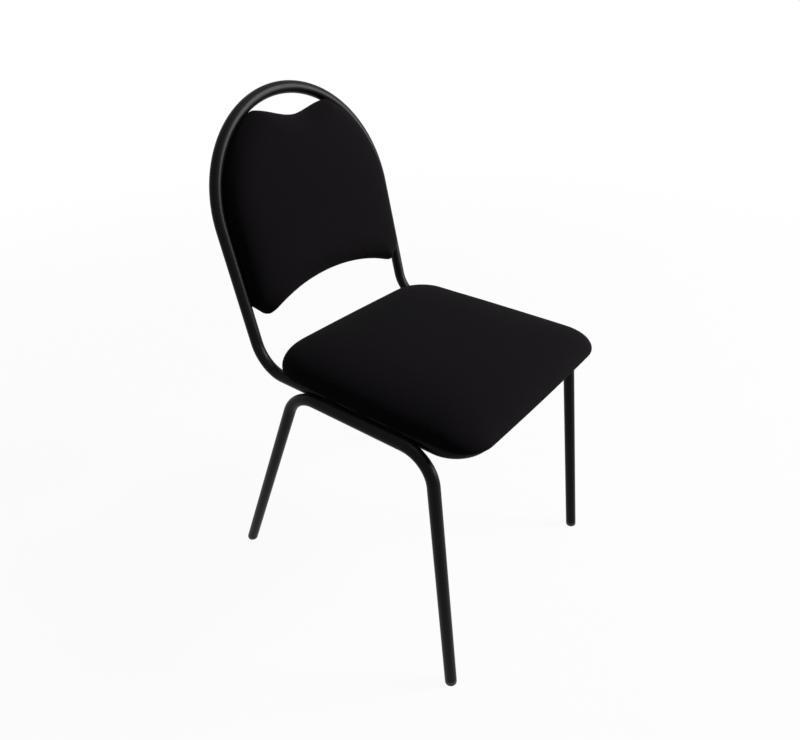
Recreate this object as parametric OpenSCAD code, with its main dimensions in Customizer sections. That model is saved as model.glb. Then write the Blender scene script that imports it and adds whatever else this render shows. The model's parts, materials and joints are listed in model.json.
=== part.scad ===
// Choir chair: a welded frame of bent round tube, an arched back with a hand hole, and two padded boards.
// Millimetres. +Z is up, the chair faces -Y, and left and right are as seen from the front.
// The origin is on the floor, under the middle of the chair's outer box.

/* [Frame tube] */
// Outside diameter of the round steel tube
tube_d = 19; // [17:0.5:22]
// Wall of the steel tube
tube_wall = 1.5; // [1:0.1:2]

/* [Legs] */
// Height of the seat rails' centre above the floor, midway between the front and rear feet
rail_h = 416.5; // [390:0.5:460]
// Angle by which the rails rise towards the front
rail_tilt = 1.4; // [0:0.1:3]
// Distance from the front feet to the rear feet, centre to centre
stance_depth = 488.4; // [470:0.1:520]
// How far a leg leans outwards between the rail and the floor
leg_splay = 14.8; // [5:0.1:30]
// How far a rear leg leans forwards between the floor and the rail
rear_lean = 166.4; // [140:0.1:190]
// How far a front leg leans backwards between the floor and the rail
front_lean = 62; // [40:0.5:90]
// Bend radius at the top of a rear leg, on the tube's centre
rear_bend_r = 66; // [45:1:80]
// Bend radius at the top of a front leg, on the tube's centre
front_bend_r = 53; // [45:1:70]

/* [Seat frame] */
// Distance between the two seat rails, centre to centre
seat_frame_w = 367; // [350:1:390]
// How much higher a seat rail lies than the leg rail welded beside it
rail_lift = 2; // [0:0.5:5]
// Distance from the middle of the stance back to the corner of rail and back
rail_rear = 171.4; // [163:0.1:183]
// Distance from the middle of the stance forwards to the front bar's centre
rail_front = 221.2; // [212:0.1:229]
// Bend radius where a seat rail turns up into the back
back_bend_r = 58; // [45:1:75]
// Bend radius at the front corners of the seat frame
front_corner_r = 46; // [40:1:60]
// Outside diameter of the cross tube under the rear of the seat
cross_tube_d = 16; // [12:1:18]
// Wall of the cross tube
cross_tube_wall = 1.2; // [1:0.1:2]
// Distance of the cross tube behind the middle of the stance
cross_tube_y = 101; // [93:1:110]

/* [Back frame] */
// Angle by which the back leans from upright
recline = 14.2; // [8:0.1:20]
// Length of the back's straight sides, from the rail corner to the start of the arch
back_side_h = 227.5; // [200:0.5:260]

/* [Seat pad] */
// How far the seat pad reaches out past the middle of each seat rail
seat_overhang = 11; // [6:0.5:14]
// Distance from the middle of the stance back to the pad's rear edge
seat_rear = 150; // [144:0.5:156]
// Distance from the middle of the stance forwards to the pad's front edge
seat_front = 241.7; // [238:0.1:251]
// Radius of the seat pad's rear corners, seen from above, which pass inside the rising back
seat_rear_corner_r = 60; // [50:1:80]
// Radius of the seat pad's front corners, seen from above
seat_front_corner_r = 46; // [35:1:60]
// Height of the seat pad's crown above the tube it rests on
seat_crown = 44; // [35:1:55]
// How far the crown falls from its middle to the front edge, and rises to the rear edge
seat_fall = 6; // [0:0.5:8]
// Height at which the seat pad is widest
seat_side_h = 6; // [3:0.5:10]
// Thickness of the seat's plywood board
seat_board_t = 10; // [8:0.5:14]

/* [Back pad] */
// Gap between the frame tube and the edge of the back pad
pad_gap = 0.3; // [0.2:0.1:1]
// Height of the hand hole in the middle, from the pad up to the tube
hand_hole_h = 32.5; // [25:0.5:45]
// Width over which the pad's top edge dips for the hand hole
hand_dip_w = 170; // [140:1:180]
// Depth of the dip in the pad's top edge
hand_dip = 15; // [8:0.5:20]
// Height of the arch in the pad's lower edge above the rail corner, along the back
pad_arch_s = 114; // [105:0.5:130]
// Height of the pad's lower tips above the rail corner, along the back
pad_tip_s = 83; // [75:0.5:95]
// Distance between the pad's two lower tips
pad_tip_w = 306; // [290:1:315]
// Height of the slanted cut from a lower tip to the pad's side
pad_cut_h = 22; // [10:1:35]
// Thickness of the back pad at its crown
pad_crown = 42; // [30:1:50]
// Height at which the back pad is widest, from its rear face
pad_side_h = 3; // [2:0.5:6]
// Thickness of the back's plywood board
back_board_t = 8; // [6:0.5:10]

/* [Upholstery] */
// Thickness of the cover, cloth and lining together
cover_t = 1.2; // [0.8:0.1:2]
// Width of the seat cover's hem, turned in under the board
seat_hem_w = 48; // [45:1:52]
// Width of the back cover's hem, turned in behind the board
back_hem_w = 19; // [16:1:20]
// Thickness of the dust cloth under the seat
dust_cloth_t = 0.6; // [0.4:0.1:1]
// Thickness of the closing panel behind the back pad
rear_panel_t = 1.2; // [0.9:0.1:2]
// Slack between a cover and the board or foam inside it
stuffing_gap = 0.3; // [0.2:0.1:0.6]

/* [Fixings] */
// Diameter of the fixing bolts
bolt_d = 6; // [5:0.5:8]
// Thickness of the steel tabs welded to the frame
tab_t = 3; // [2:0.5:4]
// Width of a tab along the tube
tab_w = 25; // [20:1:30]
// How far a seat tab reaches in from the rail's centre
seat_tab_reach = 42; // [36:1:50]
// How far a back tab reaches in from the tube's centre
back_tab_reach = 49; // [47:1:56]
// Distance of the front seat tabs ahead of the middle of the stance
front_tab_y = 147; // [130:1:150]
// Distance of the rear seat tabs behind the middle of the stance
rear_tab_y = 61; // [40:1:70]
// Height of the lower back tabs above the rail corner, along the back
low_tab_s = 140; // [130:1:150]
// Angle of the upper back tabs up round the arch
arch_tab_angle = 35; // [15:1:45]

/* [Feet] */
// Length of a foot cap below the end of its tube
foot_h = 8; // [6:0.5:12]
// Length of the plug that holds a foot cap in its tube
foot_plug_h = 22; // [12:1:30]
// Rounding of a foot cap's lower edge
foot_round = 3; // [2:0.5:4]

/* [Hidden] */

$fn = 64;
// Overrun of every cut past the face it opens
cut = 1;
// How far a straight run of tube reaches into a bend, and how far the bend stands proud of it
run_sink = 0.2;
bend_lip = 0.1;
// Straight run at the top of the arch, between its two bends
crown_run = 0.6;
// Gap between parts that are welded or seated against each other
weld_gap = 0.05;
// Gap at the butt joint in the middle of the front bar
butt_gap = 0.4;
// Clearance between a plug and its tube, and round a bolt or barrel in its hole
plug_gap = 0.1;
bolt_gap = 0.3;

// Tube and rail places
tube_r = tube_d / 2;
rail_x = seat_frame_w / 2;
leg_rail_x = rail_x + sqrt(pow(tube_d + weld_gap, 2) - pow(rail_lift, 2));
arch_r = rail_x;
deck = tube_r;
seat_w = 2 * (rail_x + seat_overhang);

// Welds: bead radius, bead length, place of its centre in the groove, places along the rail
bead_r = 3;
bead_l = 30;
bead_rise_share = 0.58;
bead_shares = [0.14, 0.5, 0.86];
joint_bead_w = 6;
joint_bead_h = 1.2;
joint_bead_open = 60;

// Fixing hardware
bolt_head_d = 10.5;
bolt_head_h = 3.3;
bolt_socket_d = 4.6;
bolt_socket_h = 2;
washer_d = 14;
washer_t = 1.2;
nut_flange_d = 19;
nut_flange_t = 1.5;
nut_barrel_d = 7.8;
nut_end_gap = 0.5;
tab_hole_edge = 12;
tab_corner_r = 4;

// Staples: crown, leg and wire, pitch along a hem and along the seat's sides, distances in from a pad's edge
staple_w = 10;
staple_leg = 6;
staple_wire = 1;
staple_crown_t = 0.5;
staple_slack = 0.1;
staple_pitch = 95;
seat_side_staple_pitch = 85;
seat_side_staple_inset = 31;
seat_end_staple_inset = 33;
back_staple_inset = 12;

// Upholstered forms: draw-in at the base, powers of the edge across and upwards, rings and outline steps
seat_draw_share = 0.985;
pad_draw_share = 0.997;
edge_power = 6;
crown_power = 2;
arc_steps = 8;
corner_steps = 8;
outline_step = 75;
dip_steps = 6;
arch_steps = 7;
tip_r = 7;
horn_r = 6;
rear_panel_inset = 7;

// Dust cloth: gaps from the centres of the seat rails and front bar, distance in from the pad's rear edge
dust_side_gap = 7.5;
dust_front_gap = 16;
dust_rear_inset = 35;
dust_corner_r = 45;

// Feet: height of the rounding's centre above the floor point
foot_round_rise = 2;
foot_plug_chamfer = 1.5;

// Colours
frame_color = [0.13, 0.13, 0.14];
weld_color = [0.17, 0.17, 0.18];
cap_color = [0.08, 0.08, 0.08];
cloth_color = [0.06, 0.06, 0.06];
lining_color = [0.1, 0.1, 0.11];
wood_color = [0.76, 0.62, 0.42];
foam_color = [0.93, 0.88, 0.7];
steel_color = [0.7, 0.71, 0.72];

// Vector of length one along another
function unit(v) = v / norm(v);

// Point of the tilted seat plane, from its own coordinates
function on_rail(p) = [
    p.x,
    p.y * cos(rail_tilt) + p.z * sin(rail_tilt),
    rail_h - p.y * sin(rail_tilt) + p.z * cos(rail_tilt)];

// Point of the reclined back plane: across, up along the back, and out towards the sitter
function on_back(p) = on_rail([0, rail_rear, 0]) + [
    p.x,
    p.y * sin(recline) - p.z * cos(recline),
    p.y * cos(recline) + p.z * sin(recline)];

// Feet and leg corners of the right-hand side
function foot_point(front) = [leg_rail_x + leg_splay, (front ? -1 : 1) * stance_depth / 2, 0];
function leg_corner(front) = on_rail([
    leg_rail_x,
    front ? front_lean - stance_depth / 2 : stance_depth / 2 - rear_lean,
    -rail_lift]);
function leg_end(front) =
    let(foot = foot_point(front))
    foot + foot_h * unit(leg_corner(front) - foot);
leg_path = [leg_end(false), leg_corner(false), leg_corner(true), leg_end(true)];
leg_radii = [0, rear_bend_r, front_bend_r, 0];

// Seat and back frame, one tube from the butt joint round and back to it
frame_path = [
    on_rail([butt_gap / 2, -rail_front, 0]),
    on_rail([rail_x, -rail_front, 0]),
    on_rail([rail_x, rail_rear, 0]),
    on_back([rail_x, back_side_h + arch_r, 0]),
    on_back([-rail_x, back_side_h + arch_r, 0]),
    on_rail([-rail_x, rail_rear, 0]),
    on_rail([-rail_x, -rail_front, 0]),
    on_rail([-butt_gap / 2, -rail_front, 0])];
arch_bend_r = arch_r - crown_run / 2;
frame_radii = [
    0, front_corner_r, back_bend_r, arch_bend_r, arch_bend_r, back_bend_r, front_corner_r, 0];

// Middle of the chair's outer box, from the front feet to the top of the arch
front_leg_dir = unit(leg_corner(true) - foot_point(true));
front_reach = stance_depth / 2 - front_leg_dir.y * foot_round_rise + foot_round
    + (tube_r - foot_round) * sqrt(1 - pow(front_leg_dir.y, 2));
rear_reach = on_back([0, back_side_h + arch_r, 0]).y + tube_r;
middle_y = (rear_reach - front_reach) / 2;

// Turn of a path at its corner i, and the length that the bend takes from each side of the corner
function bend_turn(path, i) =
    i < 1 || i > len(path) - 2 ? 0 : acos(unit(path[i] - path[i - 1]) * unit(path[i + 1] - path[i]));
function setback(path, radii, i) = radii[i] * tan(bend_turn(path, i) / 2);

// Normal of the plane of a bend, and the roll from the bend before it to this one
function bend_normal(path, i) = unit(cross(path[i] - path[i - 1], path[i + 1] - path[i]));
function bend_roll(path, i) =
    i < 2 ? 0 :
    let(
        before = bend_normal(path, i - 1),
        after = bend_normal(path, i),
        way = unit(path[i] - path[i - 1]))
    atan2(cross(before, after) * way, before * after);

// Points of a circular arc
function arc(centre, r, from, to, steps) = [
    for (k = [0 : steps])
        let(a = from + (to - from) * k / steps)
        centre + r * [cos(a), sin(a)]];

// Arc that rounds the corner p between a and b
function rounded(a, p, b, r, steps) =
    let(
        u = unit(p - a),
        v = unit(b - p),
        turn = acos(u * v),
        side = sign(u.x * v.y - u.y * v.x),
        start = p - u * r * tan(turn / 2),
        centre = start + side * r * [-u.y, u.x],
        from = atan2(start.y - centre.y, start.x - centre.x))
    arc(centre, r, from, from + side * turn, steps);

// Loop with points added so that no step is much longer than the given one
function filled(loop, step) = [
    for (i = [0 : len(loop) - 1])
        let(
            a = loop[i],
            b = loop[(i + 1) % len(loop)],
            n = max(1, round(norm(b - a) / step)))
        for (j = [0 : n - 1]) a + (b - a) * j / n];

// Loop drawn in towards a centre
function drawn(loop, centre, share) = [for (p = loop) centre + share * (p - centre)];

// Loop mirrored left to right and joined to itself, from the bottom middle anticlockwise
function both_sides(half) = concat(half, [for (i = [len(half) - 2 : -1 : 1]) [-half[i].x, half[i].y]]);

// Seat pad from above
seat_centre = [0, (seat_rear - seat_front) / 2];
function rounded_plan(half_w, front, rear, front_r, rear_r) = filled(concat(
    arc([half_w - front_r, front_r - front], front_r, -90, 0, corner_steps),
    arc([half_w - rear_r, rear - rear_r], rear_r, 0, 90, corner_steps),
    arc([rear_r - half_w, rear - rear_r], rear_r, 90, 180, corner_steps),
    arc([front_r - half_w, front_r - front], front_r, 180, 270, corner_steps)),
    outline_step);
seat_loop = rounded_plan(seat_w / 2, seat_front, seat_rear, seat_front_corner_r, seat_rear_corner_r);

// Dust cloth from above, inside the rails and the front bar
dust_loop = rounded_plan(
    rail_x - dust_side_gap, rail_front - dust_front_gap, seat_rear - dust_rear_inset,
    dust_corner_r, dust_corner_r);

// Back pad from the front: lower arch, tip, slanted cut, side, arch, horn and hand dip
pad_side = rail_x - tube_r - pad_gap;
pad_tip = [pad_tip_w / 2, pad_tip_s];
pad_cut = [pad_side, pad_tip_s + pad_cut_h];
pad_arch_rise = pad_arch_s - pad_tip_s;
pad_arch_r = (pow(pad_tip.x, 2) + pow(pad_arch_rise, 2)) / (2 * pad_arch_rise);
pad_arch_angle = asin(pad_tip.x / pad_arch_r);
pad_arch_centre = [0, pad_arch_s - pad_arch_r];
pad_dip_s = back_side_h + arch_r - tube_r - hand_hole_h;
function dip_point(x) = [x, pad_dip_s + hand_dip * (1 - cos(360 * x / hand_dip_w)) / 2];
// The horn is where the dip meets the arch, found by halving the interval
function horn_x(low, high, steps) =
    let(mid = (low + high) / 2, p = dip_point(mid) - [0, back_side_h])
    steps == 0 ? mid :
    norm(p) > pad_side ? horn_x(low, mid, steps - 1) : horn_x(mid, high, steps - 1);
horn_steps = 20;
pad_horn = dip_point(horn_x(0, hand_dip_w / 2, horn_steps));
horn_angle = atan2(pad_horn.y - back_side_h, pad_horn.x);
horn_lead_share = 0.86;
dip_start = dip_point(pad_horn.x * horn_lead_share);
arch_lead_angle = horn_angle * horn_lead_share;
arch_lead = [0, back_side_h] + pad_side * [cos(arch_lead_angle), sin(arch_lead_angle)];
lower_arch = arc(pad_arch_centre, pad_arch_r, 90, 90 - pad_arch_angle, arch_steps);
pad_half = concat(
    [for (k = [0 : arch_steps - 1]) lower_arch[k]],
    rounded(lower_arch[arch_steps - 1], pad_tip, pad_cut, tip_r, 3),
    rounded(pad_tip, pad_cut, [pad_side, back_side_h], tip_r, 1),
    arc([0, back_side_h], pad_side, 0, arch_lead_angle, arch_steps),
    rounded(arch_lead, pad_horn, dip_start, horn_r, 2),
    [for (k = [dip_steps - 1 : -1 : 0]) dip_point(dip_start.x * k / dip_steps)]);
pad_loop = filled(both_sides(pad_half), outline_step);
pad_centre = [0, (pad_arch_s + pad_dip_s) / 2];

// Round tube, cross-section and parts
module tube_section(d, wall) {
    difference() {
        circle(d = d);
        circle(d = d - 2 * wall);
    }
}

// Frame whose Z axis runs from one point towards another
module aim(from, to) {
    way = to - from;
    translate(from)
        rotate([0, acos(way.z / norm(way)), atan2(way.y, way.x)])
            children();
}

// Frame of a path's start: Z along its first run, X towards the inside of its first bend
module at_start(path) {
    z = unit(path[1] - path[0]);
    y = bend_normal(path, 1);
    x = cross(y, z);
    multmatrix([
        [x.x, y.x, z.x, path[0].x],
        [x.y, y.y, z.y, path[0].y],
        [x.z, y.z, z.z, path[0].z],
        [0, 0, 0, 1]])
        children();
}

// Solid rod from the corner i - 1 on: a straight run, a bend, and the rest carried on from the bend's end.
// Over lengthens both ends. A bend is a hair wider than a run, whose end lies inside it.
module rod_from(path, radii, rod_r, over, i) {
    run = norm(path[i] - path[i - 1]) - setback(path, radii, i - 1) - setback(path, radii, i);
    r = radii[i];
    turn = bend_turn(path, i);
    before = i == 1 ? over : run_sink;
    after = i == len(path) - 1 ? over : run_sink;
    translate([0, 0, -before]) cylinder(h = before + run + after, r = rod_r);
    if (i < len(path) - 1)
        translate([0, 0, run])
            rotate(bend_roll(path, i))
                translate([r, 0, 0]) {
                    rotate([90, 0, 180])
                        rotate_extrude(angle = turn) translate([r, 0]) circle(r = rod_r + bend_lip);
                    rotate([0, turn, 0])
                        translate([-r, 0, 0]) rod_from(path, radii, rod_r, over, i + 1);
                }
}

module bent_tube(path, radii, over) {
    at_start(path)
        difference() {
            rod_from(path, radii, tube_r, 0, 1);
            rod_from(path, radii, tube_r - tube_wall, over, 1);
        }
}

// Places of the frame, the tilted seat plane and the reclined back plane
module in_box() {
    translate([0, -middle_y, 0]) children();
}

module seat_plane() {
    in_box() translate([0, 0, rail_h]) rotate([-rail_tilt, 0, 0]) children();
}

module back_plane() {
    in_box() translate(on_rail([0, rail_rear, 0])) rotate([90 - recline, 0, 0]) children();
}

// Both sides of the chair
module left_and_right() {
    children();
    mirror([1, 0, 0]) children();
}

// Rings of an upholstered form, each a share of its loop, a height and a slope from front to rear:
// drawn in at its base, widest at the side and crowned on top, one skin's thickness inside the outer form
function form_rings(half_w, skin, side, crown, draw, slope) =
    let(fit = 1 - skin / half_w)
    concat([[draw * fit, skin, 0]], [
        for (k = [0 : arc_steps - 1])
            let(t = 90 * k / arc_steps, rise = pow(sin(t), 2 / crown_power))
            [fit * pow(cos(t), 2 / edge_power), side + (crown - skin - side) * rise, slope * rise]]);

// Closed skin over rings of a loop, with a fan of faces to the centre before the first and after the last
module ringed(loop, centre, rings, first_z, last_z) {
    n = len(loop);
    last = len(rings) - 1;
    points = concat(
        [for (ring = rings) for (p = drawn(loop, centre, ring[0]))
            [p.x, p.y, ring[1] + ring[2] * (p.y - centre.y)]],
        [[centre.x, centre.y, first_z], [centre.x, centre.y, last_z]]);
    first_tip = n * len(rings);
    last_tip = first_tip + 1;
    faces = concat(
        [for (k = [0 : last - 1]) for (i = [0 : n - 1])
            [k * n + i, (k + 1) * n + i, (k + 1) * n + (i + 1) % n]],
        [for (k = [0 : last - 1]) for (i = [0 : n - 1])
            [k * n + i, (k + 1) * n + (i + 1) % n, k * n + (i + 1) % n]],
        [for (i = [0 : n - 1]) [first_tip, i, (i + 1) % n]],
        [for (i = [0 : n - 1]) [last_tip, last * n + (i + 1) % n, last * n + i]]);
    polyhedron(points = points, faces = faces);
}

// Stuffing: the form without its cover
module pillow(loop, centre, half_w, skin, side, crown, draw, slope) {
    ringed(loop, centre, form_rings(half_w, skin, side, crown, draw, slope), skin, crown - skin);
}

// Cover: up inside the form from its crown to the hem's edge, round the hem, and back over the outside
module pillow_cover(loop, centre, half_w, skin, hem, side, crown, draw, slope) {
    inside = form_rings(half_w, skin, side, crown, draw, slope);
    hem_share = 1 - hem / half_w;
    rings = concat(
        [for (k = [len(inside) - 1 : -1 : 0]) inside[k]],
        [[hem_share, skin, 0], [hem_share, 0, 0]],
        form_rings(half_w, 0, side, crown, draw, slope));
    ringed(loop, centre, rings, crown - skin, crown);
}

// Plate over a loop that is drawn in by a distance
module loop_plate(loop, centre, half_w, inset, from, to) {
    translate([0, 0, from])
        linear_extrude(to - from)
            polygon(drawn(loop, centre, 1 - inset / half_w));
}

// Staples along a hem, or their holes when given some slack
module staple(slack) {
    translate([-staple_w / 2 - slack, -staple_wire / 2 - slack, -staple_crown_t])
        cube([staple_w + 2 * slack, staple_wire + 2 * slack, staple_crown_t]);
    for (side = [-1, 1])
        translate([side * (staple_w - staple_wire) / 2 - staple_wire / 2 - slack,
            -staple_wire / 2 - slack, -staple_crown_t])
            cube([staple_wire + 2 * slack, staple_wire + 2 * slack, staple_leg + staple_crown_t + slack]);
}

module staple_row(places, slack) {
    for (place = places)
        translate([place[0].x, place[0].y, 0]) rotate(place[1]) staple(slack);
}

// Staple places: a point of the hem and the direction of the edge there
seat_hem_x = seat_w / 2 - seat_side_staple_inset;
seat_hem_rear = seat_rear - seat_end_staple_inset;
seat_hem_front = seat_end_staple_inset - seat_front;
staple_shares = [-1.5, -0.5, 0.5, 1.5];
seat_staple_places = concat(
    [for (k = staple_shares) [[k * staple_pitch, seat_hem_front], 0]],
    [for (k = staple_shares) [[k * staple_pitch, seat_hem_rear], 0]],
    [for (k = staple_shares) for (side = [-1, 1])
        [[side * seat_hem_x, seat_centre.y + k * seat_side_staple_pitch], 90]]);

pad_hem_x = pad_side - back_staple_inset;
pad_hem_low = pad_tip_s + pad_cut_h + staple_w;
pad_hem_arch_angles = [18, 42];
pad_hem_top_shares = [-0.28, 0, 0.28];
pad_staple_places = concat(
    [for (side = [-1, 1]) for (k = [0, 1])
        [[side * pad_hem_x, pad_hem_low + k * staple_pitch], 90]],
    [for (side = [-1, 1]) for (a = pad_hem_arch_angles)
        [[side * pad_hem_x * cos(a), back_side_h + pad_hem_x * sin(a)], 90 - side * (90 - a) + 90]],
    [for (k = pad_hem_top_shares) [dip_point(k * hand_dip_w) - [0, back_staple_inset], 0]],
    [for (k = pad_hem_top_shares) let(a = 90 - 2 * k * pad_arch_angle)
        [pad_arch_centre + (pad_arch_r + back_staple_inset) * [cos(a), sin(a)], a - 90]]);

// Fixing places: on the seat plane and on the back plane, each a point and a turn
seat_tab_hole_x = rail_x - seat_tab_reach + tab_hole_edge;
back_tab_hole_x = rail_x - back_tab_reach + tab_hole_edge;
seat_fixings = [
    for (side = [-1, 1]) for (y = [-front_tab_y, rear_tab_y]) [side * seat_tab_hole_x, y]];
back_fixings = concat(
    [for (side = [-1, 1]) [side * back_tab_hole_x, low_tab_s]],
    [for (side = [-1, 1]) [side * back_tab_hole_x * cos(arch_tab_angle),
        back_side_h + back_tab_hole_x * sin(arch_tab_angle)]]);

module at_fixings(places) {
    for (p = places) translate([p.x, p.y, 0]) children();
}

// Steel tab with a bolt hole, reaching in from a tube's centre at the given distance
module tab_plate(tube_x, reach, top) {
    translate([0, 0, top - tab_t])
        difference() {
            linear_extrude(tab_t) {
                translate([tube_x - reach + tab_corner_r, -tab_w / 2])
                    square([reach - tab_corner_r, tab_w]);
                translate([tube_x - reach, tab_corner_r - tab_w / 2])
                    square([2 * tab_corner_r, tab_w - 2 * tab_corner_r]);
                for (side = [-1, 1])
                    translate([tube_x - reach + tab_corner_r, side * (tab_w / 2 - tab_corner_r)])
                        circle(r = tab_corner_r);
            }
            translate([tube_x - reach + tab_hole_edge, 0, tab_t]) bolt_hole(tab_t);
        }
}

// Bolt hole through a cloth or panel that lies just under the zero plane
module bolt_hole(thickness) {
    translate([0, 0, -thickness - cut])
        cylinder(h = thickness + 2 * cut, d = bolt_d + 2 * bolt_gap);
}

// Threaded insert: flange up at the given height, barrel down into the board
module t_nut(top, board_t) {
    translate([0, 0, top])
        difference() {
            union() {
                translate([0, 0, -nut_flange_t]) cylinder(h = nut_flange_t, d = nut_flange_d);
                translate([0, 0, nut_end_gap - board_t])
                    cylinder(h = board_t - nut_end_gap, d = nut_barrel_d);
            }
            translate([0, 0, -board_t]) cylinder(h = board_t + cut, d = bolt_d + 2 * plug_gap);
        }
}

// Hole in a board for an insert
module nut_hole(top, board_t) {
    translate([0, 0, top - nut_flange_t])
        cylinder(h = nut_flange_t + cut, d = nut_flange_d + 2 * plug_gap);
    translate([0, 0, top - board_t - cut])
        cylinder(h = board_t + 2 * cut, d = nut_barrel_d + 2 * plug_gap);
}

// Socket-headed bolt whose head bears down from below at the given height
module bolt(under_head, length) {
    translate([0, 0, under_head]) {
        difference() {
            translate([0, 0, -bolt_head_h])
                cylinder(h = bolt_head_h, d1 = bolt_head_d - bolt_head_h, d2 = bolt_head_d);
            translate([0, 0, -bolt_head_h - cut])
                cylinder(h = bolt_socket_h + cut, d = bolt_socket_d, $fn = 6);
        }
        cylinder(h = length, d = bolt_d);
    }
}

module washer(top) {
    translate([0, 0, top - washer_t])
        linear_extrude(washer_t)
            difference() {
                circle(d = washer_d);
                circle(d = bolt_d + 2 * bolt_gap);
            }
}

// Seat and back frame
module back_seat_frame() {
    color(frame_color) in_box() bent_tube(frame_path, frame_radii, butt_gap / 4);
}

// Leg frames
module leg_frame() {
    color(frame_color) in_box() bent_tube(leg_path, leg_radii, cut);
}

module right_leg_frame() {
    leg_frame();
}

module left_leg_frame() {
    mirror([1, 0, 0]) leg_frame();
}

// Cross tube between the seat rails, its ends shaped to the rails and its top under the dust cloth
module rear_cross_tube() {
    color(frame_color)
        seat_plane()
            difference() {
                translate([-rail_x, cross_tube_y, deck - dust_cloth_t - cross_tube_d / 2])
                    rotate([0, 90, 0])
                        linear_extrude(2 * rail_x) tube_section(cross_tube_d, cross_tube_wall);
                left_and_right() rail_core();
            }
}

// Space that a seat rail takes up
module rail_core() {
    translate([rail_x, -rail_front, 0])
        rotate([-90, 0, 0])
            cylinder(h = rail_front + rail_rear, r = tube_r + weld_gap);
}

// Weld beads in the grooves between a seat rail and its leg rail, above and below
rail_gap_angle = atan2(rail_lift, leg_rail_x - rail_x);
rail_middle = [(rail_x + leg_rail_x) / 2, -rail_lift / 2];
bead_front = front_lean - stance_depth / 2 + setback(leg_path, leg_radii, 2);
bead_rear = stance_depth / 2 - rear_lean - setback(leg_path, leg_radii, 1);
module rail_welds() {
    color(weld_color)
        seat_plane()
            difference() {
                for (share = bead_shares) for (side = [-1, 1])
                    translate([rail_middle.x, bead_front + share * (bead_rear - bead_front) - bead_l / 2,
                        rail_middle.y])
                        rotate([0, rail_gap_angle, 0])
                            translate([0, 0, side * tube_r * bead_rise_share])
                                rotate([-90, 0, 0]) cylinder(h = bead_l, r = bead_r);
                rail_core();
                translate([leg_rail_x, -rail_front, -rail_lift])
                    rotate([-90, 0, 0])
                        cylinder(h = rail_front + rail_rear, r = tube_r + weld_gap);
            }
}

module right_rail_welds() {
    rail_welds();
}

module left_rail_welds() {
    mirror([1, 0, 0]) rail_welds();
}

// Weld bead round the butt joint in the front bar, ground away on top where the seat rests
module front_joint_weld() {
    bead_cap_r = (pow(joint_bead_w / 2, 2) + pow(joint_bead_h, 2)) / (2 * joint_bead_h);
    color(weld_color)
        seat_plane()
            translate([0, -rail_front, 0])
                rotate([0, 90, 0])
                    rotate(joint_bead_open / 2 - 180)
                        rotate_extrude(angle = 360 - joint_bead_open)
                            difference() {
                                translate([tube_r + joint_bead_h - bead_cap_r, 0]) circle(r = bead_cap_r);
                                translate([-tube_d, -tube_d])
                                    square([tube_d + tube_r + weld_gap, 2 * tube_d]);
                            }
}

// Tabs that carry the seat, welded to the rails
module seat_tabs() {
    color(frame_color)
        seat_plane()
            left_and_right()
                difference() {
                    for (y = [-front_tab_y, rear_tab_y])
                        translate([0, y, 0]) tab_plate(rail_x, seat_tab_reach, deck - dust_cloth_t);
                    rail_core();
                }
}

// Tabs that carry the back pad, welded inside the back frame
module back_tabs() {
    color(frame_color)
        back_plane()
            left_and_right() {
                difference() {
                    translate([0, low_tab_s, 0]) tab_plate(rail_x, back_tab_reach, -rear_panel_t);
                    translate([rail_x, 0, 0])
                        rotate([-90, 0, 0]) cylinder(h = back_side_h, r = tube_r + weld_gap);
                }
                difference() {
                    translate([0, back_side_h, 0])
                        rotate(arch_tab_angle) tab_plate(arch_r, back_tab_reach, -rear_panel_t);
                    translate([0, back_side_h, 0])
                        rotate_extrude() translate([arch_r, 0]) circle(r = tube_r + weld_gap);
                }
            }
}

// Foot caps: a plug in the tube, and a round end cut flat by the floor
module foot_cap(front) {
    foot = foot_point(front);
    bore_r = tube_r - tube_wall - plug_gap;
    color(cap_color)
        in_box()
            difference() {
                aim(foot, leg_corner(front))
                    rotate_extrude() {
                        translate([0, foot_round_rise]) square([tube_r, foot_h - foot_round_rise]);
                        translate([0, foot_round_rise - foot_round])
                            square([tube_r - foot_round, foot_h - foot_round_rise + foot_round]);
                        translate([tube_r - foot_round, foot_round_rise])
                            intersection() {
                                circle(r = foot_round);
                                translate([0, -foot_round]) square([foot_round, foot_round]);
                            }
                        translate([0, foot_h]) polygon([
                            [0, 0], [bore_r, 0], [bore_r, foot_plug_h - foot_plug_chamfer],
                            [bore_r - foot_plug_chamfer, foot_plug_h], [0, foot_plug_h]]);
                    }
                translate([foot.x - tube_d, foot.y - tube_d, -tube_d])
                    cube([2 * tube_d, 2 * tube_d, tube_d]);
            }
}

module front_right_foot() {
    foot_cap(true);
}

module front_left_foot() {
    mirror([1, 0, 0]) foot_cap(true);
}

module rear_right_foot() {
    foot_cap(false);
}

module rear_left_foot() {
    mirror([1, 0, 0]) foot_cap(false);
}

// Seat pad, all standing on the deck of the seat plane
seat_half = seat_w / 2;
seat_board_inset = seat_half * (1 - seat_draw_share) + cover_t + stuffing_gap;
seat_slope = 2 * seat_fall / (seat_front + seat_rear);
seat_nut_top = cover_t + seat_board_t;

module seat_stack() {
    seat_plane() translate([0, 0, deck]) children();
}

module seat_board() {
    color(wood_color)
        seat_stack()
            difference() {
                loop_plate(seat_loop, seat_centre, seat_half, seat_board_inset, cover_t, seat_nut_top);
                at_fixings(seat_fixings) nut_hole(seat_nut_top, seat_board_t);
                staple_row(seat_staple_places, staple_slack);
            }
}

module seat_foam() {
    color(foam_color)
        seat_stack()
            difference() {
                pillow(
                    seat_loop, seat_centre, seat_half, cover_t + stuffing_gap,
                    seat_side_h, seat_crown, seat_draw_share, seat_slope);
                translate([-seat_w, -seat_w, 0]) cube([2 * seat_w, 2 * seat_w, seat_nut_top]);
            }
}

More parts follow.
